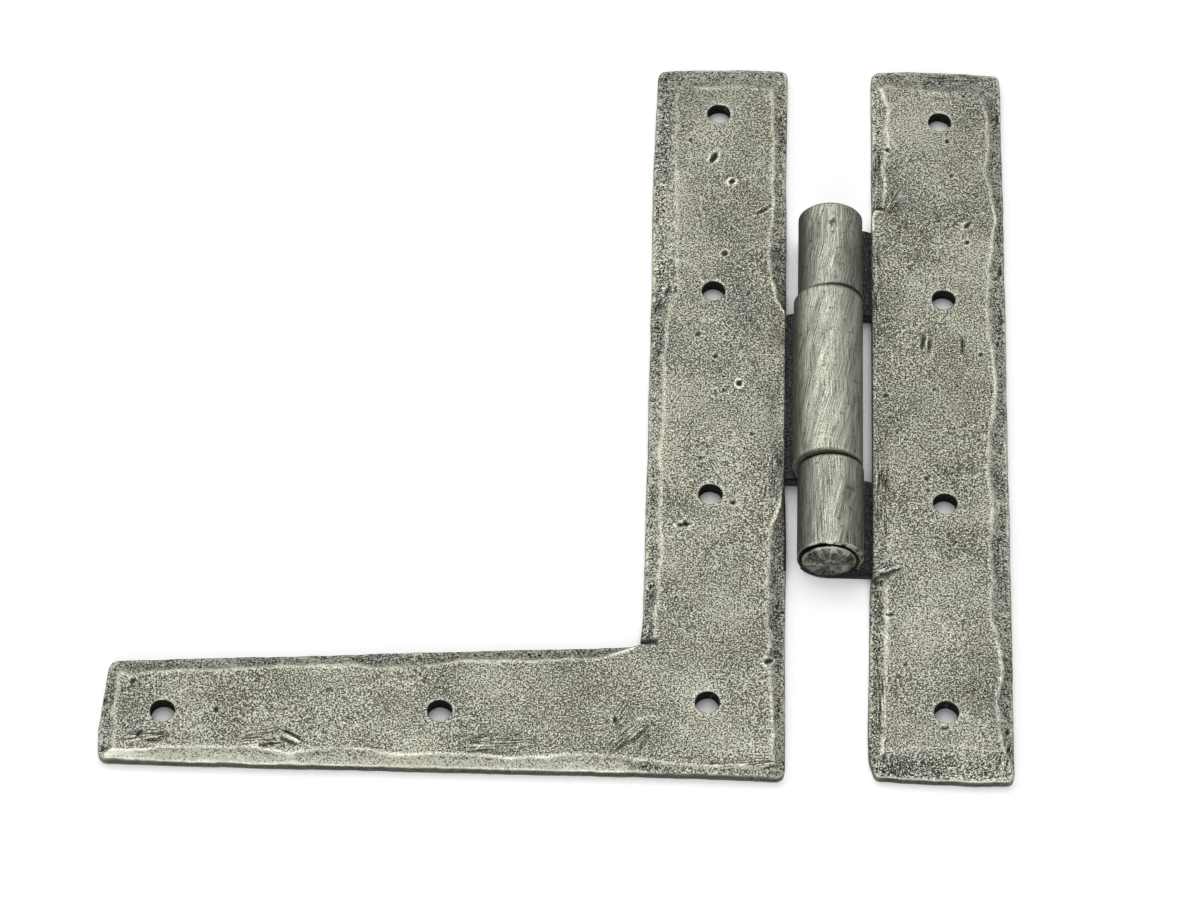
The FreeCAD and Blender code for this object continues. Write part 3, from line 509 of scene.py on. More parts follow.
def hammered_plate(node, dents, patches, seed):
    """A closed mesh of the plate without its knuckles, in millimetres: points and faces."""
    step = bpy.context.scene.hinge_sizes.mesh_step / MM
    points, triangles = solid_mesh(node)
    tree = BVHTree.FromPolygons([Vector(p) for p in points], triangles.tolist())
    loops = []
    for loop in back_loops(points, triangles):
        loop = loop[np.abs(loop[:, 0] - PIN_AXIS[0]) > TAB]
        loops.append(loop if signed_area(loop) > 0 else loop[::-1])
    loops.sort(key=signed_area, reverse=True)
    rims = hand_cut_rims(loops, step, seed)
    edge, *holes = rims
    inward = [-outward(edge)] + [outward(hole) for hole in holes]
    all_rims = np.vstack(rims)
    low, high = edge.min(0), edge.max(0)
    starts = np.cumsum([0] + [len(rim) for rim in rims])
    fixed = [
        (start + j, start + (j + 1) % len(rim)) for start, rim in zip(starts, rims) for j in range(len(rim))
    ]

    # Front face: rims, two rows just inside them, and a jittered grid.
    grid_x, grid_y = lattice(low, high, step, step * math.sqrt(3) / 2)
    grid_x = grid_x + (np.arange(len(grid_x)) % 2)[:, None] * step / 2
    grid = np.column_stack([grid_x.ravel(), grid_y.ravel()])
    grid += np.random.RandomState(seed).uniform(-0.13, 0.13, grid.shape) * step
    grid = grid[in_plate(grid, edge, holes)]
    grid = grid[nearest(grid, all_rims)[0] > FRONT_MARGIN]
    inner_rows = [rim + way_in * offset for rim, way_in in zip(rims, inward) for offset in (0.12, 0.3)]
    plan = np.vstack([all_rims] + inner_rows + [grid])
    front = triangulated(plan, fixed, rims)
    heights = front_heights(node, tree, plan, rims, dents, patches, seed)

    # Back face: the same rims drawn in a little, and a coarse grid.
    grid = np.column_stack([axis.ravel() for axis in lattice(low, high, BACK_STEP, BACK_STEP)])
    grid = grid[in_plate(grid, edge, holes) & (nearest(grid, all_rims)[0] > BACK_MARGIN)]
    back_rims, back_rows = (
        [rim + way_in * offset for rim, way_in in zip(rims, inward)] for offset in (0.22, 0.7)
    )
    back_plan = np.vstack(back_rims + back_rows + [grid])
    back = triangulated(back_plan, fixed, back_rims)

    # Walls: rows of points between each back rim and its front rim.
    stack = [np.column_stack([plan, heights]), np.column_stack([back_plan, np.zeros(len(back_plan))])]
    back_start, total = len(plan), len(plan) + len(back_plan)
    faces = [tuple(f) for f in front] + [(back_start + a, back_start + c, back_start + b) for a, b, c in back]
    for index, (rim, way_in) in enumerate(zip(rims, inward)):
        count = len(rim)
        top = starts[index] + np.arange(count)
        rows = [back_start + top]
        along = np.arange(count) * step
        for share in (0.07, 0.3, 0.55, 0.8):
            level = heights[top] * share if share > 0.1 else np.full(count, 0.22)
            dent = 0.05 * drift(along, along * 0 + share * 9, 1.6, seed + 40 + index)
            dent += 0.05 * drift(along * 0.25, along * 0 + share * 5, 1.0, seed + 50 + index)
            spot = rim + way_in * np.clip(dent + 0.03, 0, 0.2)[:, None]
            stack.append(np.column_stack([spot, level]))
            rows.append(total + np.arange(count))
            total += count
        rows.append(top)
        for lower, upper in zip(rows[:-1], rows[1:]):
            for j in range(count):
                k = (j + 1) % count
                quad = (lower[j], lower[k], upper[k], upper[j])
                faces.append(quad if index == 0 else quad[::-1])
    return np.vstack(stack), [tuple(int(v) for v in face) for face in faces]


def new_object(name, points, faces):
    """A mesh object from points in millimetres."""
    mesh = bpy.data.meshes.new(name)
    mesh.from_pydata((np.asarray(points) * MM).tolist(), [], faces)
    mesh.update()
    piece = bpy.data.objects.new(name, mesh)
    bpy.context.scene.collection.objects.link(piece)
    return piece


# The rolled knuckles
def knuckle_sizes(node):
    """Foot, top, outer radius and sideways lean of each knuckle in a packed leaf, lowest first."""
    points, _ = solid_mesh(node)
    rolled = points[(np.abs(points[:, 0] - PIN_AXIS[0]) < 4) & (points[:, 2] > PLATE + BORE)]
    levels = np.unique(np.round(rolled[:, 1], 2))
    splits = np.flatnonzero(np.diff(levels) > 30)[:1] + 1
    sizes = []
    for part in np.split(levels, splits) if node == "plain_leaf" else [levels]:
        foot, top = part.min(), part.max()
        own = points[(points[:, 1] > foot - 0.1) & (points[:, 1] < top + 0.1) & (points[:, 2] > PLATE + 2)]
        own = own[np.abs(own[:, 0] - PIN_AXIS[0]) < 11]
        lean = (own[:, 0].max() + own[:, 0].min()) / 2 - PIN_AXIS[0]
        sizes.append((foot, top, own[:, 2].max() / 2, lean))
    return sizes


def rolled_section(side, outer, lean):
    """The closed section of a tab rolled round the pin, as points across and up, in millimetres."""
    lip_height, tab_root, under = PLATE + 0.25, 14.0, 0.03
    tab_top = PLATE - 0.12
    lip_out = math.pi + math.asin((outer - lip_height) / outer)
    lip_in = math.pi + math.asin((PIN_AXIS[2] - lip_height) / outer)
    sweep_out = np.linspace(-math.pi / 2, lip_out, 84)
    sweep_in = np.linspace(lip_in, -math.pi / 2, 40)
    out_arc = np.column_stack([np.cos(sweep_out) * outer - lean * side, outer + np.sin(sweep_out) * outer])
    in_arc = np.column_stack([np.cos(sweep_in) * BORE, PIN_AXIS[2] + np.sin(sweep_in) * BORE])
    web = np.arange(3.0, tab_root, 0.7)
    top = np.column_stack([-web, tab_top - np.clip((web - 9.8) / 2.0, 0, 1) * 0.9])
    bottom = np.column_stack([-web[::-1], np.full(len(web), under)])
    section = np.vstack([out_arc, in_arc, top, bottom])
    return section if side < 0 else (section * (-1, 1))[::-1]


def knuckle_tree():
    """Geometry nodes: sweep a rolled section along the pin, ease its ends, and cut file strokes into it."""
    tree = bpy.data.node_groups.new("Rolled knuckle", "GeometryNodeTree")
    for name, kind, default in (
        ("Geometry", "Geometry", None), ("Foot", "Float", 0.0), ("Top", "Float", 0.03),
        ("Row spacing", "Float", 0.0005), ("Bore radius", "Float", 0.0045), ("Axis", "Vector", None),
        ("End easing", "Float", 0.0007), ("File depth", "Float", 0.00009), ("Stroke seed", "Float", 1.0),
        ("Material", "Material", None),
    ):
        socket = tree.interface.new_socket(name, in_out="INPUT", socket_type="NodeSocket" + kind)
        if default is not None:
            socket.default_value = default
    tree.interface.new_socket("Geometry", in_out="OUTPUT", socket_type="NodeSocketGeometry")
    given = add(tree, "NodeGroupInput").outputs
    section = add(tree, "GeometryNodeMeshToCurve", {"Mesh": given["Geometry"]})
    start, end = (add(tree, "ShaderNodeCombineXYZ", {"Y": given[name]}) for name in ("Foot", "Top"))
    line = add(tree, "GeometryNodeCurvePrimitiveLine", {"Start": start, "End": end})
    spacing = {"Curve": line, "Length": given["Row spacing"]}
    rail = add(tree, "GeometryNodeResampleCurve", spacing, mode="LENGTH")
    swept = add(tree, "GeometryNodeCurveToMesh", {"Curve": rail, "Profile Curve": section, "Fill Caps": True})
    placed = add(tree, "GeometryNodeInputPosition")
    apart = add(tree, VECTOR, (placed, given["Axis"]), operation="SUBTRACT")
    flat = add(tree, VECTOR, (apart, (1, 0, 1)), operation="MULTIPLY")
    reach = add(tree, VECTOR, (flat,), operation="LENGTH")
    way = add(tree, VECTOR, (flat,), operation="NORMALIZE")
    # Only the roll's outside is filed: further out than the bore, and above the tab.
    parts = add(tree, "ShaderNodeSeparateXYZ", (placed,)).outputs
    wall = add(tree, MATH, (given["Bore radius"], 1.5 * MM), operation="ADD")
    outside = add(tree, MATH, (reach, wall), operation="GREATER_THAN")
    above = add(tree, MATH, (parts["Z"], (PLATE + 0.3) * MM), operation="GREATER_THAN")
    filed = add(tree, MATH, (outside, above), operation="MULTIPLY")
    from_foot = add(tree, MATH, (parts["Y"], given["Foot"]), operation="SUBTRACT")
    from_top = add(tree, MATH, (given["Top"], parts["Y"]), operation="SUBTRACT")
    end_gap = add(tree, MATH, (from_foot, from_top), operation="MINIMUM")
    easing = given["End easing"]
    eased = add(tree, RANGE, (end_gap, 0.0, easing, easing, 0.0), interpolation_type="SMOOTHERSTEP")
    # Strokes of 1.1 mm by 9 mm along the roll, and facets of 6 mm.
    stretched = add(tree, VECTOR, (placed, (900.0, 110.0, 900.0)), operation="MULTIPLY")
    grooves, facets = (
        add(tree, NOISE, {
            "Vector": place, "W": given["Stroke seed"], "Scale": scale, "Detail": detail, "Roughness": 0.5,
        }, noise_dimensions="4D") for place, scale, detail in ((stretched, 1.0, 2.0), (placed, 170.0, 1.0))
    )
    both = add(tree, MATH, (facets, grooves, grooves), operation="MULTIPLY_ADD")
    loss = add(tree, MATH, (both, given["File depth"], eased), operation="MULTIPLY_ADD")
    shown = add(tree, MATH, (loss, filed), operation="MULTIPLY")
    back = add(tree, MATH, (shown, -1.0), operation="MULTIPLY")
    move = add(tree, VECTOR, {0: way, "Scale": back}, operation="SCALE")
    moved = add(tree, "GeometryNodeSetPosition", {"Geometry": swept, "Offset": move})
    welded = add(tree, "GeometryNodeMergeByDistance", {"Geometry": moved, "Distance": 0.01 * MM})
    real = add(tree, "GeometryNodeRealizeInstances", (welded,))
    painted = add(tree, "GeometryNodeSetMaterial", {"Geometry": real, "Material": given["Material"]})
    add(tree, "NodeGroupOutput", (painted,))
    return tree


def settled(piece, modifier):
    """The piece with its modifier's result as its plain mesh."""
    bpy.context.view_layer.update()
    view = piece.evaluated_get(bpy.context.evaluated_depsgraph_get())
    mesh = bpy.data.meshes.new_from_object(view)
    piece.modifiers.remove(modifier)
    piece.data = mesh
    return piece


def with_nodes(piece, tree, values):
    """The piece with a node tree's result as its plain mesh. Values go in by each socket's identifier."""
    modifier = piece.modifiers.new(tree.name, "NODES")
    modifier.node_group = tree
    for item in tree.interface.items_tree:
        if item.item_type == "SOCKET" and item.in_out == "INPUT" and item.name in values:
            modifier[item.identifier] = values[item.name]
    return settled(piece, modifier)


def knuckle(node, side, foot, top, outer, lean, seed):
    """One rolled knuckle with its tab, as a closed mesh."""
    section = rolled_section(side, outer, lean)[::-1]
    count = len(section)
    points = np.column_stack([section[:, 0] + PIN_AXIS[0], -section[:, 1], np.zeros(count)])
    mesh = bpy.data.meshes.new(node + "_section")
    mesh.from_pydata((points * MM).tolist(), [(i, (i + 1) % count) for i in range(count)], [])
    piece = bpy.data.objects.new(node + "_knuckle", mesh)
    bpy.context.scene.collection.objects.link(piece)
    tree = bpy.data.node_groups.get("Rolled knuckle") or knuckle_tree()
    return with_nodes(piece, tree, {
        "Foot": foot * MM, "Top": top * MM, "Row spacing": 0.5 * MM, "Bore radius": BORE * MM,
        "Axis": (PIN_AXIS * MM * (1, 0, 1)).tolist(), "End easing": (0.3 if side < 0 else 0.6) * MM,
        "File depth": bpy.context.scene.hinge_sizes.file_depth, "Stroke seed": float(seed), "Material": steel(),
    })


def tube_faces(rows, count):
    """Faces of a closed tube along Y, facing out, from rows that have a number of points each."""
    faces = [
        (i * count + j, (i + 1) * count + j, (i + 1) * count + (j + 1) % count, i * count + (j + 1) % count)
        for i in range(rows - 1) for j in range(count)
    ]
    return faces + [tuple(range(count)), tuple((rows - 1) * count + j for j in range(count))[::-1]]


def countersink(foot):
    """The cone cut into the lowest knuckle's end, in which the pin's head sits."""
    count = 72
    turn = np.arange(count) / count * 2 * math.pi
    uneven = 1 + 0.012 * np.sin(3 * turn) + 0.008 * np.sin(7 * turn + 1)
    across, up = uneven * np.cos(turn), uneven * np.sin(turn)
    centre = (PIN_AXIS[0] - 0.35, PIN_AXIS[2] + 0.42)
    rows = [
        np.column_stack([centre[0] + radius * across, np.full(count, y), centre[1] + radius * up])
        for y, radius in ((foot - 0.4, 8.15), (foot + 0.02, 7.95), (foot + 1.3, 6.5))
    ]
    return new_object("countersink", np.vstack(rows), tube_faces(len(rows), count))


def joined(piece, others, operation="UNION"):
    """The piece with the others forged on, or cut away, as one closed mesh."""
    for other in others:
        union = piece.modifiers.new("forged together", "BOOLEAN")
        union.operation, union.solver, union.object = operation, "MANIFOLD", other
        settled(piece, union)
        bpy.data.objects.remove(other)
    return piece


# Wear, soot, the filed roll and painted light and shade, kept as attributes for the material
def bending(mesh, points, normals):
    """How the surface bends at each point and beside it: above 0 on edges, below 0 in hollows."""
    count = len(points)
    edges = np.empty(len(mesh.edges) * 2, np.int32)
    mesh.edges.foreach_get("vertices", edges)
    a, b = edges.reshape(-1, 2).T
    span = points[b] - points[a]
    length = np.maximum(np.linalg.norm(span, axis=1), 0.25)
    bend = np.bincount(a, -(span * normals[a]).sum(1) / length, count)
    bend += np.bincount(b, (span * normals[b]).sum(1) / length, count)
    ties = np.bincount(a, minlength=count) + np.bincount(b, minlength=count)
    bend /= np.maximum(ties, 1)
    return (bend + np.bincount(a, bend[b], count) + np.bincount(b, bend[a], count)) / (ties + 1)


def scar_marks(points, face):
    """Each point's place in the sheaf of scratches that it lies in, and how strong the sheaf is there."""
    scar = np.zeros((len(points), 3))
    for index, (sideways, rise, half_length, half_width, turn) in enumerate(SCARS):
        dx, dy = from_spot(points, sideways, rise)
        forward, aside = turned(dx, dy, turn)
        ragged = 1 + 0.3 * drift(dx, dy, 2.5, 91 + index)
        weight = np.clip(1.5 - 1.5 * ((forward / half_length) ** 2 + (aside / half_width) ** 2) * ragged, 0, 1)
        near = (weight > scar[:, 2]) & face
        scar[near] = np.column_stack([(aside + index * 20) * MM, forward * MM, weight])[near]
    return scar


def raised(values, where, floor):
    """Lifts the values in some places to a floor."""
    values[where] = np.maximum(values, floor)[where]


def mark_wear_and_painted_light(piece):
    """Attributes: wear is above a half on edges and below it in hollows; the others guide the patina. Wear also
    holds painted highlights, soot painted shade, and filed a painted highlight on the roll's crown.
    """
    mesh = piece.data
    points, normals = mesh_values(mesh, "co", 3) / MM, mesh_values(mesh, "normal", 3)
    (x, y, z), (_, ny, nz) = points.T, normals.T
    across, up, rise = x - PIN_AXIS[0], z - PIN_AXIS[2], y - LOWEST_EDGE
    reach, way_round = np.hypot(across, up), np.arctan2(across, up)
    along = (y > KNUCKLES[0] - 0.2) & (y < KNUCKLES[1] + 0.2)
    middle = (y > KNUCKLE_ENDS[0]) & (y < KNUCKLE_ENDS[1])
    far_side = across * np.where(middle, -1, 1) < 0
    rolled = along & (reach < ROLL_REACH) & ((z > PLATE + 0.15) | far_side)
    tab = along & (np.abs(across) < TAB_REACH) & ~rolled
    face = (nz > 0.5) & ~rolled & ~tab
    lowest = y < KNUCKLES[0] + 2

    # Wear and painted highlight. The rim is rubbed pale, and painted paler as a highlight on the side that faces
    # -Y, towards the camera; elsewhere it is pale only here and there.
    bend = bending(mesh, points, normals)
    rim = ~rolled & ~tab & (nz < 0.93) & (z > 2.0)
    patchy = np.clip(drift(x, y, 7.0, 23) + 0.15, 0, 1)
    bend *= np.where(rim, np.clip(0.22 + 0.4 * patchy - 0.75 * ny, 0.15, 1.0), 1.0)
    # The edges beside the knuckles are out of the hand's reach.
    bend *= np.where(along & ~rolled & (np.abs(across) < TAB_REACH + 0.8), 0.12, 1.0)
    hole_gap = np.min([np.hypot(x - hx, y - hy) - radius for hx, hy, radius in HOLE_SPOTS], axis=0)
    hole_rim = hole_gap < 0.7
    bend *= np.where(hole_rim & ~rim, 0.3, np.where(hole_rim, 0.5, 1.0))
    bend *= np.where(face & (across > -46) & (rise < 8), 0.6, 1.0)
    bend *= np.where(face & (across < -40) & (rise > 42), 0.85, 1.0)
    dents = dented(points, np.zeros(len(y)), L_DENTS + PLAIN_DENTS)
    bowl, line = hammer_rings(points)
    burr = np.clip(0.35 + 1.3 * drift(across, up, 3.0, 29), 0.1, 1.6)
    wear_and_sheen = 0.5 + bend * np.where(rolled, np.where(lowest, burr, 1.0), np.where(face, 5.0, 3.2))
    wear_and_sheen += face * (0.14 * line + 0.05 * bowl + 1.2 * np.clip(dents, 0, 1))
    wear_and_sheen[tab] = 0.5
    # A burr round the lowest knuckle's mouth, and nicks on the pin's head beside it, are painted pale: rubbed
    # metal and painted highlights.
    mouth = rolled & (y < KNUCKLES[0] + 0.6) & (reach > 8.0)
    raised(wear_and_sheen, mouth, 0.72 + 0.3 * drift(way_round * 6, reach, 1.0, 43))
    nick_glints = (y < KNUCKLES[0]) & (reach > 5.4) & (np.abs(way_round - 0.55) < 0.6)
    wear_and_sheen[nick_glints & (drift(way_round * 7, reach * 0.7, 1.0, 44) > 0.1)] = 1.0
    struck = face & (dents < -0.02)
    wear_and_sheen[struck] = np.minimum(wear_and_sheen, 0.55)[struck]

    # Soot lies in dents and beaten scale, and in the seams; above the middle knuckle, which is prouder, painted
    # shade widens the band.
    soot_and_shade = np.zeros(len(y))
    beaten = roughened(points, np.zeros(len(y)), L_ROUGH + PLAIN_ROUGH)
    soot_and_shade[face] = (np.clip(-dents, 0, 0.2) * 4.6 + np.clip(-beaten, 0, 0.2) * 2.4)[face]
    seam = np.abs(y[:, None] - np.array([KNUCKLE_ENDS])).min(1)
    ledge = y - KNUCKLE_ENDS[1]
    seam = np.where((ledge > 0) & (ledge < 3), np.maximum(ledge - 1.05 - 0.04 * across, 0), seam)
    lined = rolled & ~lowest & (reach < 9.0)
    soot_and_shade[lined] = np.exp(-(seam / 0.3) ** 4)[lined]
    pitted = np.exp(-((across - 0.4) / 1.3) ** 2 - ((y - 49.5) / 4.5) ** 2)
    raised(soot_and_shade, rolled, 0.75 * pitted * np.clip(3 * drift(across * 2.2, y, 1.1, 33), 0, 1))
    soot_and_shade[tab] = 1.0
    # It creeps out of the tabs over the plate beside them.
    mottle = 0.75 + 0.6 * drift(across * 2.0, y, 6.0, 37)
    tabs = [(*KNUCKLE_ENDS[:2], -1, 7.5)] + [(*sizes[:2], 1, 4.0) for sizes in PLAIN_KNUCKLES]
    for foot, top, side, spread in tabs:
        beyond = np.maximum(0, np.maximum(foot - y, y - top))
        off = np.hypot(np.maximum(across * side - TAB, 0), 0.6 * beyond)
        raised(soot_and_shade, face & (across * side > 0), 0.5 * np.exp(-(off / spread) ** 1.5) * mottle)
    # Painted shade: the plates' steep walls are darkened to the back's scale.
    steep = (np.abs(nz) < 0.6) & ~rolled & ~tab
    soot_and_shade[steep] = 0.5
    # Painted shade under the roll, darker the more it faces down.
    under = rolled & (z < PIN_AXIS[2]) & (np.abs(ny) < 0.6)
    raised(soot_and_shade, under, 0.45 * np.clip((-0.1 - nz) / 0.8, 0, 1))
    soot_and_shade[(nz < -0.6) & ~rolled] = 0.45
    # The L leaf's bevel stops in a step above the foot; painted shade blackens its corner, and its edge is kept
    # from turning pale.
    corner = face & (across > -49.5) & (across < -44.2)
    raised(soot_and_shade, corner & (rise > 38.0), np.exp(-((rise - 38.5) / 1.5) ** 2))
    ledge_line = corner & (np.abs(rise - 38.0) < 0.9)
    wear_and_sheen[ledge_line] = np.minimum(wear_and_sheen, 0.6)[ledge_line]
    # The plain leaf's wedge has a pale lip above it, and painted shade, black, below it.
    (x0, y0), (x1, y1) = WEDGE[:2]
    length = math.hypot(x1 - x0, y1 - y0)
    forward = ((across - x0) * (x1 - x0) + (rise - y0) * (y1 - y0)) / length ** 2
    above = ((rise - y0) * (x1 - x0) - (across - x0) * (y1 - y0)) / length
    lip = face & (forward > -0.12) & (forward < 1.02)
    wear_and_sheen[lip & (above > -0.15) & (above < 0.3)] = 0.76
    shade = np.exp(-((above + 0.7) / 0.6) ** 2) * np.clip(0.35 + 0.6 * forward, 0, 0.85)
    raised(soot_and_shade, lip & (above < -0.15), shade)
    # Painted shade: the screw holes' walls are painted black.
    soot_and_shade[(hole_gap < 0.12) & steep] = 0.95
    ends = rolled & (np.abs(ny) > 0.6)
    soot_and_shade[ends] = np.where((reach < 8.8) | lowest, 1.0, 0.35)[ends]
    soot_and_shade[rolled & (reach < BORE + 2.6)] = 1.0

    # The file strokes show strongest on the roll's crown, painted pale as a highlight, most on the middle knuckle;
    # the roll's sides take patina and painted shade. The bevels are thick with pits, except the foot's lower
    # bevel, facing
    # -Y, which is painted pale as a highlight.
    crown = np.cos(way_round - 0.12)
    filed = np.clip((crown - 0.2) / 0.6, 0, 1) * np.where(middle, 0.88, 0.58) + 0.17
    filed = np.where(rolled & ~ends, filed, 0)
    bevel = np.where(face, np.clip((PLATE - 0.2 - z) / 0.5, 0, 1), 0)
    bevel *= 1 - 2 * np.clip((-46 - across) / 6, 0, 1) * np.clip((-0.08 - ny) / 0.14, 0, 1)
    roll = np.column_stack([way_round * 9.0, y, np.zeros(len(y))]) * MM
    for name, values in (
        ("wear_and_sheen", np.clip(wear_and_sheen, 0, 1)), ("soot_and_shade", soot_and_shade), ("filed", filed), ("bevel", bevel), ("roll", roll),
        ("scar", scar_marks(points, face)),
    ):
        kind, key = ("FLOAT", "value") if values.ndim == 1 else ("FLOAT_VECTOR", "vector")
        mesh.attributes.new(name, kind, "POINT").data.foreach_set(key, values.astype(np.float32).ravel())
    mesh.polygons.foreach_set("use_smooth", np.ones(len(mesh.polygons), bool))
    mesh.set_sharp_from_angle(angle=math.radians(48))
    mesh.update()


def hole_spots():
    """Centre and radius of every screw hole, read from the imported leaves."""
    spots = []
    for node in ("l_leaf", "plain_leaf"):
        loops = sorted(back_loops(*solid_mesh(node)), key=lambda loop: -abs(signed_area(loop)))
        for loop in loops[1:]:
            low, high = loop.min(0), loop.max(0)
            spots.append((*((low + high) / 2), (high - low).mean() / 2))
    return spots


HOLE_SPOTS = hole_spots()
PLAIN_KNUCKLES = knuckle_sizes("plain_leaf")
KNUCKLES = (PLAIN_KNUCKLES[0][0], PLAIN_KNUCKLES[-1][1])
KNUCKLE_ENDS = tuple(y for sizes in knuckle_sizes("l_leaf") + PLAIN_KNUCKLES for y in sizes[:2])


# Materials and the studio
def coated(tree, body, coats):
    """A colour under coats: what guides each, where it starts and is full, its share, and its colour."""
    for guide, start, full, share, colour in coats:
        amount = add(tree, RANGE, (guide, start, full, 0.0, share))
        body, colour = (tone(c) if isinstance(c, str) else c for c in (body, colour))
        body = add(tree, MIX, {0: amount, 6: body, 7: colour}, data_type="RGBA")
    return body


def surfaced(material, colour, rough, relief, metallic, depth):
    """The material with its surface, whose relief is a bump of a given depth in millimetres."""
    tree = material.node_tree
    bump = add(tree, "ShaderNodeBump", {"Height": relief, "Strength": 1.0, "Distance": depth * MM})
    shader = add(
        tree, "ShaderNodeBsdfPrincipled",
        {"Base Color": colour, "Roughness": rough, "Normal": bump, "Metallic": metallic},
    )
    add(tree, "ShaderNodeOutputMaterial", (shader,))
    return material


def strokes(tree, roll, turn, seed, width, length):
    """Strokes of a width and length in millimetres, laid at a slant on a flat or unrolled surface."""
    laid = add(
        tree, "ShaderNodeMapping",
        {"Vector": roll, "Rotation": (0, 0, math.radians(turn)), "Location": (seed, 0, 0)},
    )
    drawn = add(tree, VECTOR, (laid, (1 / (width * MM), 1 / (length * MM), 1.0)), operation="MULTIPLY")
    return add(tree, NOISE, {"Vector": drawn, "Scale": 1.0, "Detail": 3.0, "Roughness": 0.65})


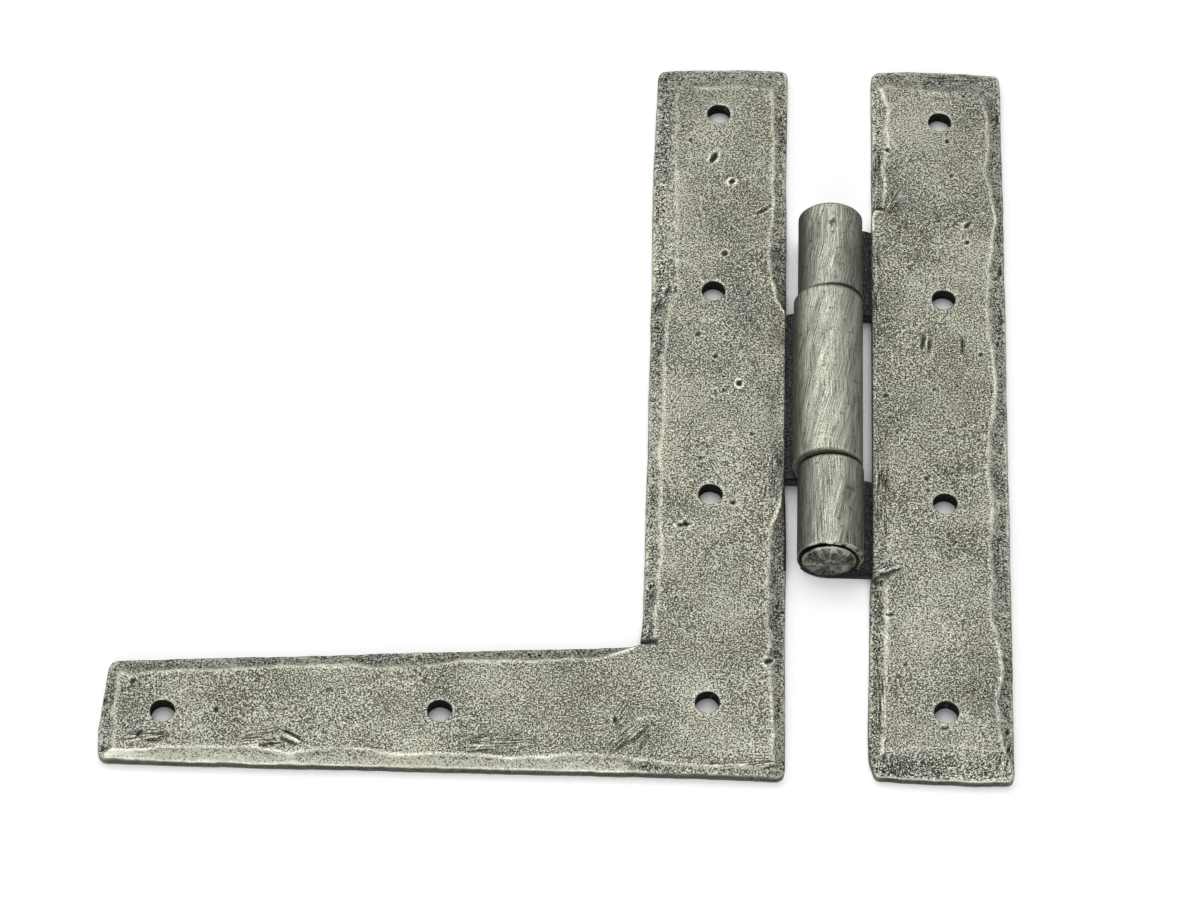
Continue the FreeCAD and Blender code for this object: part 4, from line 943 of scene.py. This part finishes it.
def forged_steel():
    """Forged steel, black from the fire, rubbed back to pewter: pale faces full of dark pits, bright edges, and
    painted highlights and shade from the attributes.
    """
    material = bpy.data.materials.new("patinated forged steel")
    tree = blank_tree(material)
    place = add(tree, "ShaderNodeTexCoord").outputs["Object"]
    wear_and_sheen, soot_and_shade, filed, bevel, roll, scar = (
        add(tree, ATTRIBUTE, attribute_name=name).outputs[output] for name, output in (
            ("wear_and_sheen", "Fac"), ("soot_and_shade", "Fac"), ("filed", "Fac"), ("bevel", "Fac"), ("roll", "Vector"),
            ("scar", "Vector"),
        )
    )
    # The burnt skin: a curly grain of 0.5 mm, densest on the bevels, in patches of some 17 mm on the faces.
    patches, grain, flecks, warmth, crumbs, pocks, flakes, choice = (
        add(tree, NOISE, {"Vector": where, "Scale": 1 / (size * MM), "Detail": detail, "Roughness": roughness})
        for where, size, detail, roughness in (
            (place, 17.0, 3.0, 0.6), (place, 0.46, 3.0, 0.62), (place, 0.3, 2.0, 0.6), (place, 9.0, 2.0, 0.55),
            (place, 0.9, 3.0, 0.55), (place, 1.7, 3.0, 0.55), (place, 3.2, 4.0, 0.68), (roll, 7.0, 1.0, 0.55),
        )
    )
    dusk = add(tree, RANGE, (patches, 0.34, 0.68, -0.03, 0.03))
    dusk = add(tree, MATH, (bevel, -0.045, dusk), operation="MULTIPLY_ADD")
    handled_and_sheen = add(tree, RANGE, (wear_and_sheen, 0.0, 1.0, -0.15, 0.15))
    worn = grain
    for change in (dusk, handled_and_sheen):
        worn = add(tree, MATH, (worn, change), operation="ADD")
    pits = add(tree, RANGE, (worn, 0.41, 0.52, 1.0, 0.0))
    bevelled = add(tree, RANGE, (bevel, 0.0, 1.0, 0.2, 0.9))
    # Share of pale paint on the foot's lower bevel, facing -Y: a painted highlight.
    front_bevel_highlight = add(tree, RANGE, (worn, 0.42, 0.52, 0.05, 0.4))
    # Single specks of soot, 1.5 mm apart.
    specks = add(tree, "ShaderNodeTexVoronoi", {"Vector": place, "Scale": 1 / (1.5 * MM), "Randomness": 1.0})
    for source, share in ((grain, 0.5), (bevel, -0.08)):
        specks = add(tree, MATH, (source, share, specks), operation="MULTIPLY_ADD")
    ragged = add(tree, MATH, (specks, add(tree, RANGE, (patches, 0.3, 0.7, -0.31, -0.13))), operation="ADD")
    # Scars: fine strokes of 0.44 mm by 8 mm, scored where the hammer's edge or the tongs slipped.
    weight = add(tree, "ShaderNodeSeparateXYZ", (scar,)).outputs["Z"]
    scored = add(tree, VECTOR, (scar, (1.0, 1.0, 0.0)), operation="MULTIPLY")
    score = strokes(tree, scored, 0, 0.0, 0.44, 8.0)
    cut = add(tree, RANGE, (score, 0.54, 0.58, 0.0, weight))
    lip = add(tree, RANGE, (score, 0.45, 0.41, 0.0, weight))

    # The roll's file strokes, a quarter of a millimetre wide, in two slants. The roll's sides are painted dark,
    # patina and painted shade both, and its crown pale as a painted highlight.
    choice = add(tree, RANGE, (choice, 0.42, 0.58, 0.0, 1.0))
    steep, upright = (strokes(tree, roll, *way) for way in ((13, 0.0, 0.22, 15.0), (-3, 0.7, 0.26, 20.0)))
    lined = add(tree, MIX, {0: choice, 2: steep, 3: upright}, data_type="FLOAT")
    zones = add(tree, RANGE, (strokes(tree, roll, 9, 1.3, 3.2, 26.0), 0.36, 0.64, -0.06, 0.06))
    lying = add(tree, MATH, (lined, zones), operation="ADD")
    crowned = add(tree, MATH, (lined, 0.8, filed), operation="MULTIPLY_ADD")
    drawn = coated(tree, STROKE_DARK, (
        (lying, 0.37, 0.64, 1.0, STROKE_LIGHT), (lying, 0.38, 0.3, 0.6, PEPPER_AND_SHADE),
        (pocks, 0.60, 0.70, 0.6, PEPPER_AND_SHADE), (grain, 0.42, 0.34, 0.55, PEPPER_AND_SHADE), (crowned, 1.3, 0.62, 1.0, PEPPER_AND_SHADE),
    ))

    # Soot is a black crust in the seams and tabs, and a thinner scale on the back. The same crust and scale paint
    # shade in the holes' walls, the step's corner, the steep walls and under the roll.
    crust_and_shade = coated(tree, SOOT_AND_SHADE, ((grain, 0.4, 0.62, 1.0, CRUST_AND_SHADE),))
    mottled = add(tree, MATH, (worn, add(tree, RANGE, (flakes, 0.3, 0.7, -0.05, 0.05))), operation="ADD")
    scale = coated(tree, BACK_SCALE_AND_SHADE, (
        (flakes, 0.42, 0.6, 1.0, PEWTER_DARK), (mottled, 0.52, 0.43, 0.8, PEPPER_AND_SHADE),
    ))
    rubbed = add(tree, RANGE, (crumbs, 0.3, 0.5, 0.375, 0.75))
    body = coated(tree, PEWTER, (
        (warmth, 0.38, 0.62, 0.6, PEWTER_WARM), (flecks, 0.48, 0.64, 1.0, PEWTER_LIGHT),
        (flecks, 0.46, 0.34, 0.6, PEWTER_DARK), (bevel, 0.0, 1.0, 0.55, RUBBED_AND_SHEEN), (pits, 0.0, 1.0, 0.85, PEPPER_AND_SHADE),
        (worn, 0.43, 0.37, bevelled, SOOT_AND_SHADE), (ragged, 0.22, 0.12, 0.9, SOOT_AND_SHADE),
        (bevel, -0.1, -1.0, front_bevel_highlight, RUBBED_AND_SHEEN), (cut, 0.0, 1.0, 0.85, SOOT_AND_SHADE), (lip, 0.0, 1.0, 0.55, RUBBED_AND_SHEEN),
        (filed, 0.02, 0.12, 1.0, drawn),
        # Rubbed edges are pale, and so are the painted highlights on the rims facing -Y and round the lowest
        # knuckle's mouth;
        # hollows keep their black.
        (wear_and_sheen, 0.42, 0.28, 0.8, PEPPER_AND_SHADE), (wear_and_sheen, 0.59, 0.82, rubbed, RUBBED_AND_SHEEN),
        (soot_and_shade, 0.15, 0.55, 1.0, scale), (soot_and_shade, 0.5, 0.8, 1.0, crust_and_shade), (wear_and_sheen, 0.70, 0.9, 0.6, RUBBED_AND_SHEEN),
    ))

    relief = 0.0
    for source, height in ((pits, -1.0), (flecks, 1.2), (cut, -2.5)):
        relief = add(tree, MATH, (source, height, relief), operation="MULTIPLY_ADD")
    unfiled = add(tree, RANGE, (filed, 0.0, 0.15, 1.0, 0.1))
    relief = add(tree, MATH, (relief, unfiled), operation="MULTIPLY")
    ridged = add(tree, MATH, (lined, filed), operation="MULTIPLY")
    relief = add(tree, MATH, (ridged, 1.6, relief), operation="MULTIPLY_ADD")
    rough = add(tree, RANGE, (pits, 0.0, 1.0, 0.36, 0.6))
    rough = add(tree, MATH, (soot_and_shade, 0.15, rough), operation="MULTIPLY_ADD")
    return surfaced(material, body, rough, relief, 0.88, 0.1)


def peened_steel():
    """The pin's steel: black from the fire, with pale veins where the hammer spread the heads."""
    material = bpy.data.materials.new("peened pin steel")
    tree = blank_tree(material)
    place = add(tree, "ShaderNodeTexCoord").outputs["Object"]
    wear_and_sheen = add(tree, ATTRIBUTE, attribute_name="wear_and_sheen").outputs["Fac"]
    roll = add(tree, ATTRIBUTE, attribute_name="roll").outputs["Vector"]
    blotch, ripple, grain = (
        add(tree, NOISE, {"Vector": place, "Scale": 1 / (size * MM), "Detail": detail, "Roughness": roughness})
        for size, detail, roughness in ((2.4, 3.0, 0.6), (1.3, 3.0, 0.55), (0.5, 2.0, 0.55))
    )
    cells = add(
        tree, "ShaderNodeTexVoronoi", {"Vector": place, "Scale": 1 / (3.6 * MM), "Randomness": 1.0},
        feature="DISTANCE_TO_EDGE",
    )
    wavy = add(tree, MATH, (ripple, 0.9, cells), operation="MULTIPLY_ADD")
    veins = strokes(tree, roll, 0, 0.0, 1.5, 4.0)
    # The wear attribute's pale coat includes painted highlights on the nicks of the pin's head.
    body = coated(tree, PEPPER_AND_SHADE, (
        (blotch, 0.38, 0.62, 1.0, PEWTER_DARK), (grain, 0.52, 0.62, 0.5, PEWTER),
        (wavy, 0.5, 0.45, 0.5, PEWTER_LIGHT), (veins, 0.54, 0.64, 0.65, PEWTER_LIGHT),
        (veins, 0.46, 0.38, 0.75, SOOT_AND_SHADE), (wear_and_sheen, 0.62, 0.8, 0.6, RUBBED_AND_SHEEN), (wear_and_sheen, 0.44, 0.3, 0.7, SOOT_AND_SHADE),
    ))
    relief = add(tree, MATH, (blotch, 2.0, grain), operation="MULTIPLY_ADD")
    rough = add(tree, RANGE, (blotch, 0.3, 0.7, 0.45, 0.6))
    return surfaced(material, body, rough, relief, 0.85, 0.12)


def steel():
    """The forged steel of both leaves, made once."""
    return bpy.data.materials.get("patinated forged steel") or forged_steel()


def floor_paper(colour):
    """White background paper: matt, a little self-lit for the camera so that it photographs white."""
    material = bpy.data.materials.new("white background paper")
    tree = blank_tree(material)
    path = add(tree, "ShaderNodeLightPath").outputs
    # The shadow that lies close under the metal, within 9 mm of it.
    sky = add(tree, "ShaderNodeAmbientOcclusion", {"Distance": 9 * MM}, samples=8).outputs["AO"]
    free = add(tree, RANGE, (sky, 0.12, 0.52, 0.0, 1.0))
    shade = add(tree, MIX, {0: free, 6: (0.36, 0.36, 0.37, 1), 7: (*colour, 1)}, data_type="RGBA")
    paper = add(tree, "ShaderNodeBsdfDiffuse", {"Color": shade})
    glow = add(tree, MATH, (free, 0.4), operation="MULTIPLY")
    lift = add(tree, "ShaderNodeEmission", {"Strength": glow, "Color": (1, 1, 1, 1)})
    seen = add(tree, "ShaderNodeAddShader", (paper, lift))
    mix = add(tree, "ShaderNodeMixShader", (path["Is Camera Ray"], paper, seen))
    add(tree, "ShaderNodeOutputMaterial", (mix,))
    return material


def white_room():
    """The world: to the metal, a white ceiling over walls that fall off to grey; to the camera, plain white."""
    world = bpy.data.worlds.new("white room")
    tree = blank_tree(world)
    path = add(tree, "ShaderNodeLightPath").outputs
    look = add(tree, "ShaderNodeTexCoord").outputs["Generated"]
    height = add(tree, "ShaderNodeSeparateXYZ", (look,)).outputs["Z"]
    ceiling = add(tree, RANGE, (height, 0.1, 0.97, 0.32, 0.85), interpolation_type="SMOOTHSTEP")
    seen = add(tree, MATH, (path["Is Glossy Ray"], ceiling), operation="MULTIPLY")
    open_view = add(tree, MATH, (path["Is Camera Ray"], path["Is Transmission Ray"]), operation="MAXIMUM")
    share = add(tree, MATH, (open_view, seen), operation="MAXIMUM")
    walls = add(tree, RANGE, (height, 0.0, 1.0, 0.5, 0.12))
    fill = add(tree, "ShaderNodeBackground", (tone("#DADBDD"), walls))
    white = add(tree, "ShaderNodeBackground", ((1, 1, 1, 1), 1.0))
    mix = add(tree, "ShaderNodeMixShader", (share, fill, white))
    add(tree, "ShaderNodeOutputWorld", (mix,))
    return world


def photograph_camera(distance):
    """The camera that took the photograph, at a distance from the point it looks at."""
    data = bpy.data.cameras.new("studio camera")
    data.sensor_width, data.lens = 36.0, LENS_MM
    data.clip_start, data.clip_end = 0.05, 50.0
    camera = bpy.data.objects.new("studio camera", data)
    rise, turn = math.radians(CAMERA_ELEVATION), math.radians(CAMERA_TURN)
    facing = Matrix.Rotation(-turn, 3, "Z")
    right = facing @ Vector((1, 0, 0))
    up = facing @ Vector((0, math.sin(rise), math.cos(rise)))
    back = facing @ Vector((0, -math.cos(rise), math.sin(rise)))
    place = Vector(CAMERA_AIM_MM) * MM + back * distance
    camera.matrix_world = Matrix.Translation(place) @ Matrix((right, up, back)).transposed().to_4x4()
    return camera


def finish_piece(piece, node, body, material):
    """Material, wear with painted light and shade, and the frame's own labels on a finished piece."""
    piece.data.materials.clear()
    piece.data.materials.append(material)
    mark_wear_and_painted_light(piece)
    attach(piece, body)
    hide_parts(node)


# Operators
class HINGE_OT_l_leaf(bpy.types.Operator):
    """Forge the L leaf: plate, foot and the middle knuckle in one piece"""

    bl_idname = "hinge.l_leaf"
    bl_label = "L leaf"

    def execute(self, context):
        points, faces = hammered_plate("l_leaf", L_DENTS, L_ROUGH, 11)
        plate = new_object("l_leaf_forged", points, faces)
        eyes = [knuckle("l_leaf", -1, *sizes, 3) for sizes in knuckle_sizes("l_leaf")]
        finish_piece(joined(plate, eyes), "l_leaf", "l_side", steel())
        return {"FINISHED"}


class HINGE_OT_plain_leaf(bpy.types.Operator):
    """Forge the plain leaf: plate and the upper and lower knuckles in one piece"""

    bl_idname = "hinge.plain_leaf"
    bl_label = "Plain leaf"

    def execute(self, context):
        points, faces = hammered_plate("plain_leaf", PLAIN_DENTS, PLAIN_ROUGH, 71)
        plate = new_object("plain_leaf_forged", points, faces)
        eyes = [knuckle("plain_leaf", 1, *sizes, 5 + i) for i, sizes in enumerate(PLAIN_KNUCKLES)]
        joined(eyes[0], [countersink(PLAIN_KNUCKLES[0][0])], "DIFFERENCE")
        finish_piece(joined(plate, eyes), "plain_leaf", "plain_side", steel())
        return {"FINISHED"}


class HINGE_OT_pin(bpy.types.Operator):
    """Peen the pin: a round bar with both ends hammered into low heads"""

    bl_idname = "hinge.pin"
    bl_label = "Hinge pin"

    def execute(self, context):
        low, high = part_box("hinge_pin")
        half = (high.x - low.x) / MM / 2
        shaft = BORE - 0.05
        foot, top = KNUCKLES
        head = (high.y - low.y) / MM / 2 - (top - foot) / 2
        turns = 144
        # Half the bar's outline: distance along the pin and radius.
        crown = [(foot - head * max(0.0, 1 - (r / half) ** 3.2) ** 0.6, r) for r in np.linspace(0.02, half, 34)]
        under = [
            (foot + 0.25, half - 0.12), (foot + 0.6, half - 0.6), (foot + 1.0, shaft + 1.2),
            (foot + 1.25, shaft),
        ]
        bar = [(y, shaft) for y in np.linspace(foot + 3, top - 2, 30)]
        flat_under = [(foot + 0.05, shaft), (foot, shaft + 0.4), (foot, half - 0.6), (foot - 0.02, half - 0.15)]
        profile = crown + under + bar + [(foot + top - y, r) for y, r in flat_under + crown[::-1]]
        angle = np.arange(turns) / turns * 2 * math.pi
        peen = context.scene.hinge_sizes.peen_depth / MM
        along, radius = (np.repeat(values, turns) for values in zip(*profile))
        across, up = (radius * np.tile(way(angle), len(profile)) for way in (np.cos, np.sin))
        reach = np.hypot(across, up)
        for end, sign in ((foot, -1), (top, 1)):
            beyond = np.clip((along - end) * sign / head, 0, 1)
            # Dimples of some 3 mm from the hammer, and an outline that spread unevenly.
            bumps = 0.5 * drift(across + end, up, 3.0, 81) + 0.3 * drift(across, up + end, 1.2, 82)
            along = along - sign * beyond * np.clip(0.5 + bumps, 0, 1.2) * peen * 1.6
            spread = 0.5 + 0.5 * drift(np.arctan2(up, across) * 3 + end, reach * 0.05, 1.0, 83)
            keep = 1 - beyond ** 0.3 * np.clip(reach / half, 0, 1) ** 2 * 0.055 * spread
            across, up = (np.where(beyond > 0, value * keep, value) for value in (across, up))
        points = np.column_stack([PIN_AXIS[0] + across, along, PIN_AXIS[2] + up])
        piece = new_object("hinge_pin_peened", points, tube_faces(len(profile), turns))
        finish_piece(piece, "hinge_pin", "plain_side", peened_steel())
        return {"FINISHED"}


class HINGE_OT_studio(bpy.types.Operator):
    """Lay the white floor, set the soft lights and aim the camera"""

    bl_idname = "hinge.studio"
    bl_label = "Studio"

    def execute(self, context):
        scene = context.scene
        scene.view_settings.view_transform = "Standard"
        sizes = scene.hinge_sizes
        corners = [(x * FLOOR_REACH, y * FLOOR_REACH, -0.05) for x, y in ((-1, -1), (1, -1), (1, 1), (-1, 1))]
        floor = new_object("studio_floor", corners, [(0, 1, 2, 3)])
        floor.data.materials.append(floor_paper(sizes.floor_colour))
        # The floor gives way under the plain leaf, which hangs below the other leaf at its lower limit.
        for height in (0.0, PLATE * MM):
            corner = bpy.data.objects.new("plain leaf's corner", None)
            corner.location = (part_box("plain_leaf")[1].x, 0.0, height)
            scene.collection.objects.link(corner)
            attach(corner, "plain_side")
            under = floor.constraints.new("FLOOR")
            under.target, under.floor_location = corner, "FLOOR_NEGATIVE_Z"
        for name, spot, size, power in SOFTBOXES:
            data = bpy.data.lights.new(name, "AREA")
            data.shape, data.size, data.energy = "SQUARE", size, power
            lamp = bpy.data.objects.new(name, data)
            lamp.location = spot
            lamp.rotation_euler = (-Vector(spot)).to_track_quat("-Z", "Y").to_euler()
            scene.collection.objects.link(lamp)
        scene.world = white_room()
        scene.camera = photograph_camera(sizes.camera_distance)
        scene.collection.objects.link(scene.camera)
        return {"FINISHED"}


class HINGE_PT_panel(bpy.types.Panel):
    """The hinge's pieces and sizes"""

    bl_idname = "HINGE_PT_panel"
    bl_label = "Forged hinge"
    bl_space_type = "VIEW_3D"
    bl_region_type = "UI"
    bl_category = "Hinge"

    def draw(self, context):
        for operator in OPERATORS:
            self.layout.operator(operator.bl_idname)
        for name in HingeSizes.__annotations__:
            self.layout.prop(context.scene.hinge_sizes, name)


OPERATORS = (HINGE_OT_l_leaf, HINGE_OT_plain_leaf, HINGE_OT_pin, HINGE_OT_studio)
CLASSES = (HingeSizes, *OPERATORS, HINGE_PT_panel)


def register():
    for item in CLASSES:
        bpy.utils.register_class(item)
    bpy.types.Scene.hinge_sizes = bpy.props.PointerProperty(type=HingeSizes)


def unregister():
    del bpy.types.Scene.hinge_sizes
    for item in reversed(CLASSES):
        bpy.utils.unregister_class(item)


def main():
    register()
    bpy.ops.hinge.l_leaf()
    bpy.ops.hinge.plain_leaf()
    bpy.ops.hinge.pin()
    bpy.ops.hinge.studio()


if __name__ == "__main__":
    main()
